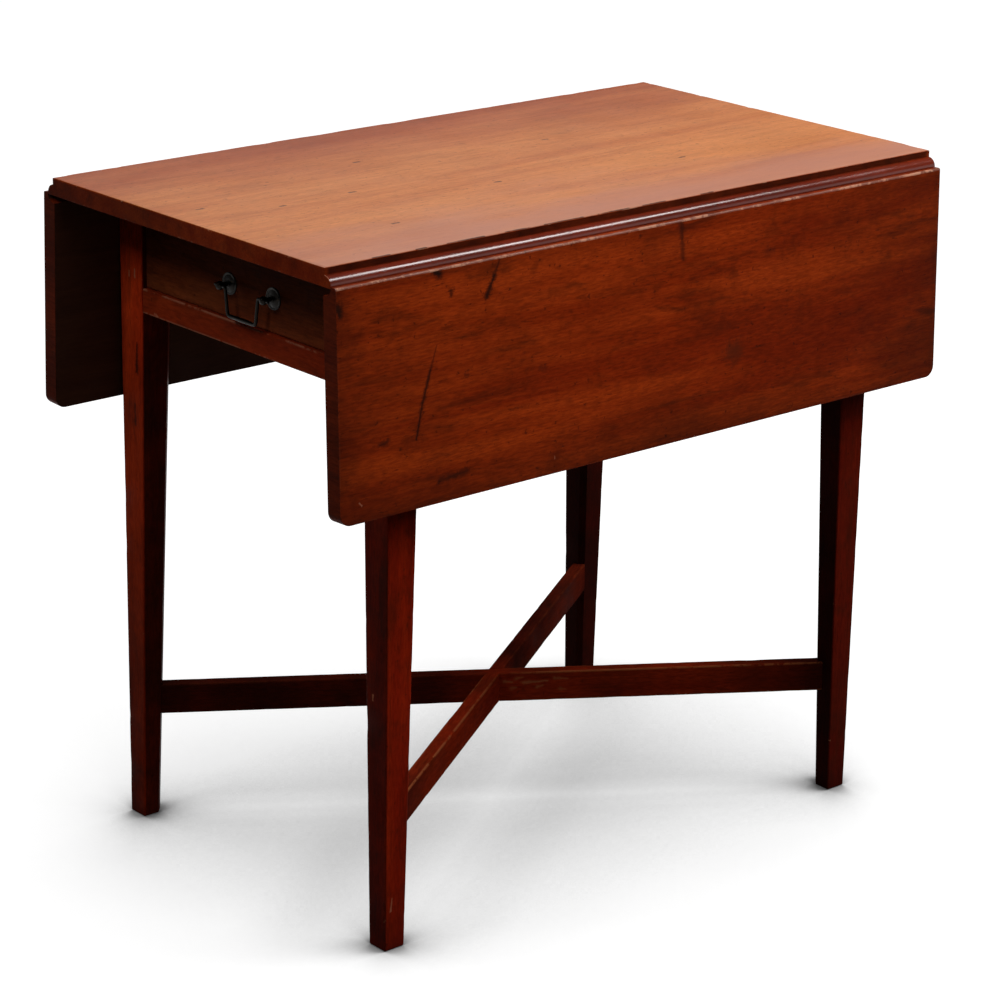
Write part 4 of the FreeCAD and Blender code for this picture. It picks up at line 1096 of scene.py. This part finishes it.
bar_tones = {"pale": (0.28, 0.024, 0.005), "dark": (0.15, 0.010, 0.003), "mottle": 0.5, "specks": 0.5,
             "smudge": 0.5, "fleck": 0.25, "smooth": 0.5, "rough": 0.75, "amount": 0.58, "grime": 0.95,
             "specular": 0.001, "bare": (0.30, 0.085, 0.030)}
over_material = varnished("stretcher_over_varnish", (0, 0, -bar_turn), marks=[(mark_worn, scuffs)],
                          **bar_tones)
under_material = varnished("stretcher_under_varnish", (0, 0, bar_turn), **bar_tones)
stretcher("upper_stretcher", "stretcher_over", bar_turn, True, 3.7, over_material)
stretcher("lower_stretcher", "stretcher_under", -bar_turn, False, 10.1, under_material)

# %% [markdown]
# The pull is cast brass gone almost black: two round plates, two posts that end in balls, and a
# bail that hangs between the balls. Metal needs its own material: a dark patina that has rubbed
# through to a dull gold here and there. The iron of the hinges is the same recipe with rust for a
# patina.

# %% Old brass and iron
def metal(name, film_color, bare_color, low, high, metallic, smooth, rough):
    """A metal under a patina; low and high set how much bare metal shows."""
    material, tree, place = new_material(name)
    coarse = clouds(tree, place, 120.0, 5, 0.6)
    fine = clouds(tree, place, 900.0, 3, 0.6)
    both = calc(tree, "ADD", calc(tree, "MULTIPLY", coarse, 0.7), calc(tree, "MULTIPLY", fine, 0.3))
    rubbed = step(tree, both, low, high)
    color = blend(tree, rubbed, film_color, bare_color)
    roughness = step(tree, both, 0.35, 0.65, rough, smooth)
    bump = wire(tree, "Bump", {"Strength": 0.3, "Distance": 0.0003, "Height": both}).outputs[0]
    shader = wire(tree, "BsdfPrincipled", {"Base Color": color, "Roughness": roughness, "Normal": bump,
                                           "Metallic": metallic})
    wire(tree, "OutputMaterial", {"Surface": shader.outputs[0]})
    print("material", name)
    return material


brass_material = metal("old_brass_patina", (0.004, 0.003, 0.002), (0.085, 0.050, 0.020), 0.62, 0.80,
                       0.9, 0.24, 0.5)
iron_material = metal("rusty_iron", (0.030, 0.016, 0.010), (0.10, 0.075, 0.06), 0.55, 0.75,
                      0.6, 0.45, 0.75)

# %% [markdown]
# Plates and posts were turned on a lathe, so each is a drawn profile spun once round. They could be
# stacked from cylinders and spheres, but a profile gives the small hollows and beads as well.

# %% The pull: plates and posts
plate_low, plate_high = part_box("pull_rosettes")
post_low, post_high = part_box("pull_posts")
bail_joint = Vector(joint["bail_swing"]["pos_m"])
rosette_radius = (plate_high.z - plate_low.z) / 2
post_x = plate_high.x - rosette_radius
drawer_y = plate_high.y
ball_radius = (post_high.z - post_low.z) / 2
turn_steps = 40


def turned_pair(name, node, profile):
    """Two turned pieces at the posts, from a profile of radius and height off the drawer front."""
    bm = started()
    for side in (-1, 1):
        centre = Vector((side * post_x, drawer_y, bail_joint.z))
        points = [centre + Vector((0, -height, radius)) for radius, height in profile]
        start = bm.verts.new(points[0])
        pencil(bm, start, *points[1:])
        line = [item for item in bm.edges if not item.link_faces]
        ends = list({vertex for edge in line for vertex in edge.verts})
        bmesh.ops.spin(bm, geom=ends + line, cent=centre, axis=(0, 1, 0), angle=math.radians(360),
                       steps=turn_steps, use_merge=True)
    bmesh.ops.remove_doubles(bm, verts=bm.verts[:], dist=weld)
    dressed(bm, name, "drawer", "old_brass", [node], brass_material)


mm = 0.001
rim, dome = rosette_radius, plate_high.y - plate_low.y
turned_pair("pull_plates", "pull_rosettes", [
    (0, 0), (rim, 0), (rim, 0.8 * mm), (rim - 0.3 * mm, 1.2 * mm), (rim - 1.0 * mm, 1.3 * mm),
    (rim - 1.7 * mm, 1.0 * mm), (rim - 2.4 * mm, 0.9 * mm), (rim - 3.0 * mm, 1.2 * mm),
    (rim - 4.4 * mm, 1.9 * mm), (rim - 6.0 * mm, 2.5 * mm), (rim - 7.6 * mm, 2.9 * mm),
    (rim - 8.2 * mm, dome), (0, dome)])
ball_at = drawer_y - bail_joint.y
neck = 2.6 * mm
ball_start, ball_steps = 34, 9
ball_turns = [math.radians(ball_start + (180 - ball_start) * i / ball_steps) for i in range(ball_steps + 1)]
ball = [(ball_radius * math.sin(turn), ball_at - ball_radius * math.cos(turn)) for turn in ball_turns]
inside_reach = drawer_y - post_high.y
turned_pair("pull_stems", "pull_posts", [
    (0, inside_reach), (neck, inside_reach), (neck, 0.6 * mm), (neck + 1.2 * mm, dome),
    (neck + 1.3 * mm, dome + 0.6 * mm), (neck, dome + 1.2 * mm), *ball])

# %% [markdown]
# The bail is one bent rod. It could be built as a chain of cylinders, but a curve with a round
# bevel is smoother and lets the rod swell in the grip, through the radius of each point. The curve
# is turned into a mesh so that it can be exported like the other pieces.

# %% The pull: bail
bail_low, bail_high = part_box("pull_bail")
rod_radius = (bail_high.y - bail_low.y) / 2
shoulder_x = post_x - 9 * mm
grip_x = 23 * mm
shoulder_bend = 3.6 * mm
grip_bend = 8 * mm
grip_z = bail_low.z + rod_radius
axis_z = bail_joint.z
lean = (shoulder_x - grip_x) / (axis_z - grip_z)
bail_half = [(bail_high.x, axis_z, 0.75), (post_x, axis_z, 0.78),
             (shoulder_x + shoulder_bend, axis_z, 0.80), (shoulder_x, axis_z, 0.82),
             (shoulder_x - lean * shoulder_bend, axis_z - shoulder_bend, 0.82),
             (grip_x + lean * grip_bend, grip_z + grip_bend, 0.88), (grip_x, grip_z, 0.96),
             (grip_x - grip_bend, grip_z, 1.06)]
bail_points = bail_half + [(0, grip_z, 1.18)] + [(-x, z, r) for x, z, r in reversed(bail_half)]
bail_curve = bpy.data.curves.new("bail_rod", "CURVE")
bail_curve.dimensions = "3D"
bail_curve.bevel_depth = rod_radius
bail_curve.bevel_resolution = 6
bail_curve.resolution_u = 8
bail_curve.use_fill_caps = True
spline = bail_curve.splines.new("NURBS")
spline.points.add(len(bail_points) - 1)
for point, (x, z, radius) in zip(spline.points, bail_points):
    point.co = (x, bail_joint.y, z, 1)
    point.radius = radius
spline.order_u = 3
spline.use_endpoint_u = True
rod = bpy.data.objects.new("bail_rod", bail_curve)
scene.collection.objects.link(rod)
bpy.context.view_layer.update()
rod_mesh = bpy.data.meshes.new_from_object(rod.evaluated_get(bpy.context.evaluated_depsgraph_get()))
bpy.data.objects.remove(rod)
bm = bmesh.new()
bm.from_mesh(rod_mesh)
bm.faces.layers.float.new("eased")
bmesh.ops.remove_doubles(bm, verts=bm.verts[:], dist=weld)
dressed(bm, "swinging_bail", "bail", "old_brass", ["pull_bail"], brass_material)

# %% [markdown]
# What the camera hardly sees keeps its CAD mesh, because its shape is already right: the inner
# rails, the fly brackets, the drawer's box, the runners, the hinges and their screws. These pieces
# were never varnished, so they get a dry brown wood with dust in it, and the iron gets its rust.

# %% Materials for the CAD pieces that stay
bare_tones = {"pale": (0.33, 0.17, 0.075), "dark": (0.20, 0.092, 0.036), "mottle": 0.35, "specks": 0.3,
              "pores": 0.5, "smooth": 0.6, "rough": 0.85, "amount": 0.4, "grime": 0.4, "specular": 0.08}
bare_y = varnished("bare_wood_along", along_y, **bare_tones)
bare_x = varnished("bare_wood_across", along_x, **bare_tones)
across_nodes = {"drawer_back", "drawer_bottom", "drawer_stops", "glue_blocks"}
slot_materials = {"bare_wood": bare_y, "iron": iron_material, "old_brass": brass_material}
for node_name, node in frame["nodes"].items():
    if node_name in replaced:
        continue
    slot_name = node.material_slots[0].material.name.split(".")[0]
    chosen = bare_x if node_name in across_nodes else slot_materials[slot_name]
    for slot in node.material_slots:
        slot.material = chosen
print("CAD pieces dressed", len(frame["nodes"]) - len(replaced))

# %% Size and finish
def corners(box):
    """A box as plain lists of numbers."""
    return [list(map(float, corner)) for corner in box]
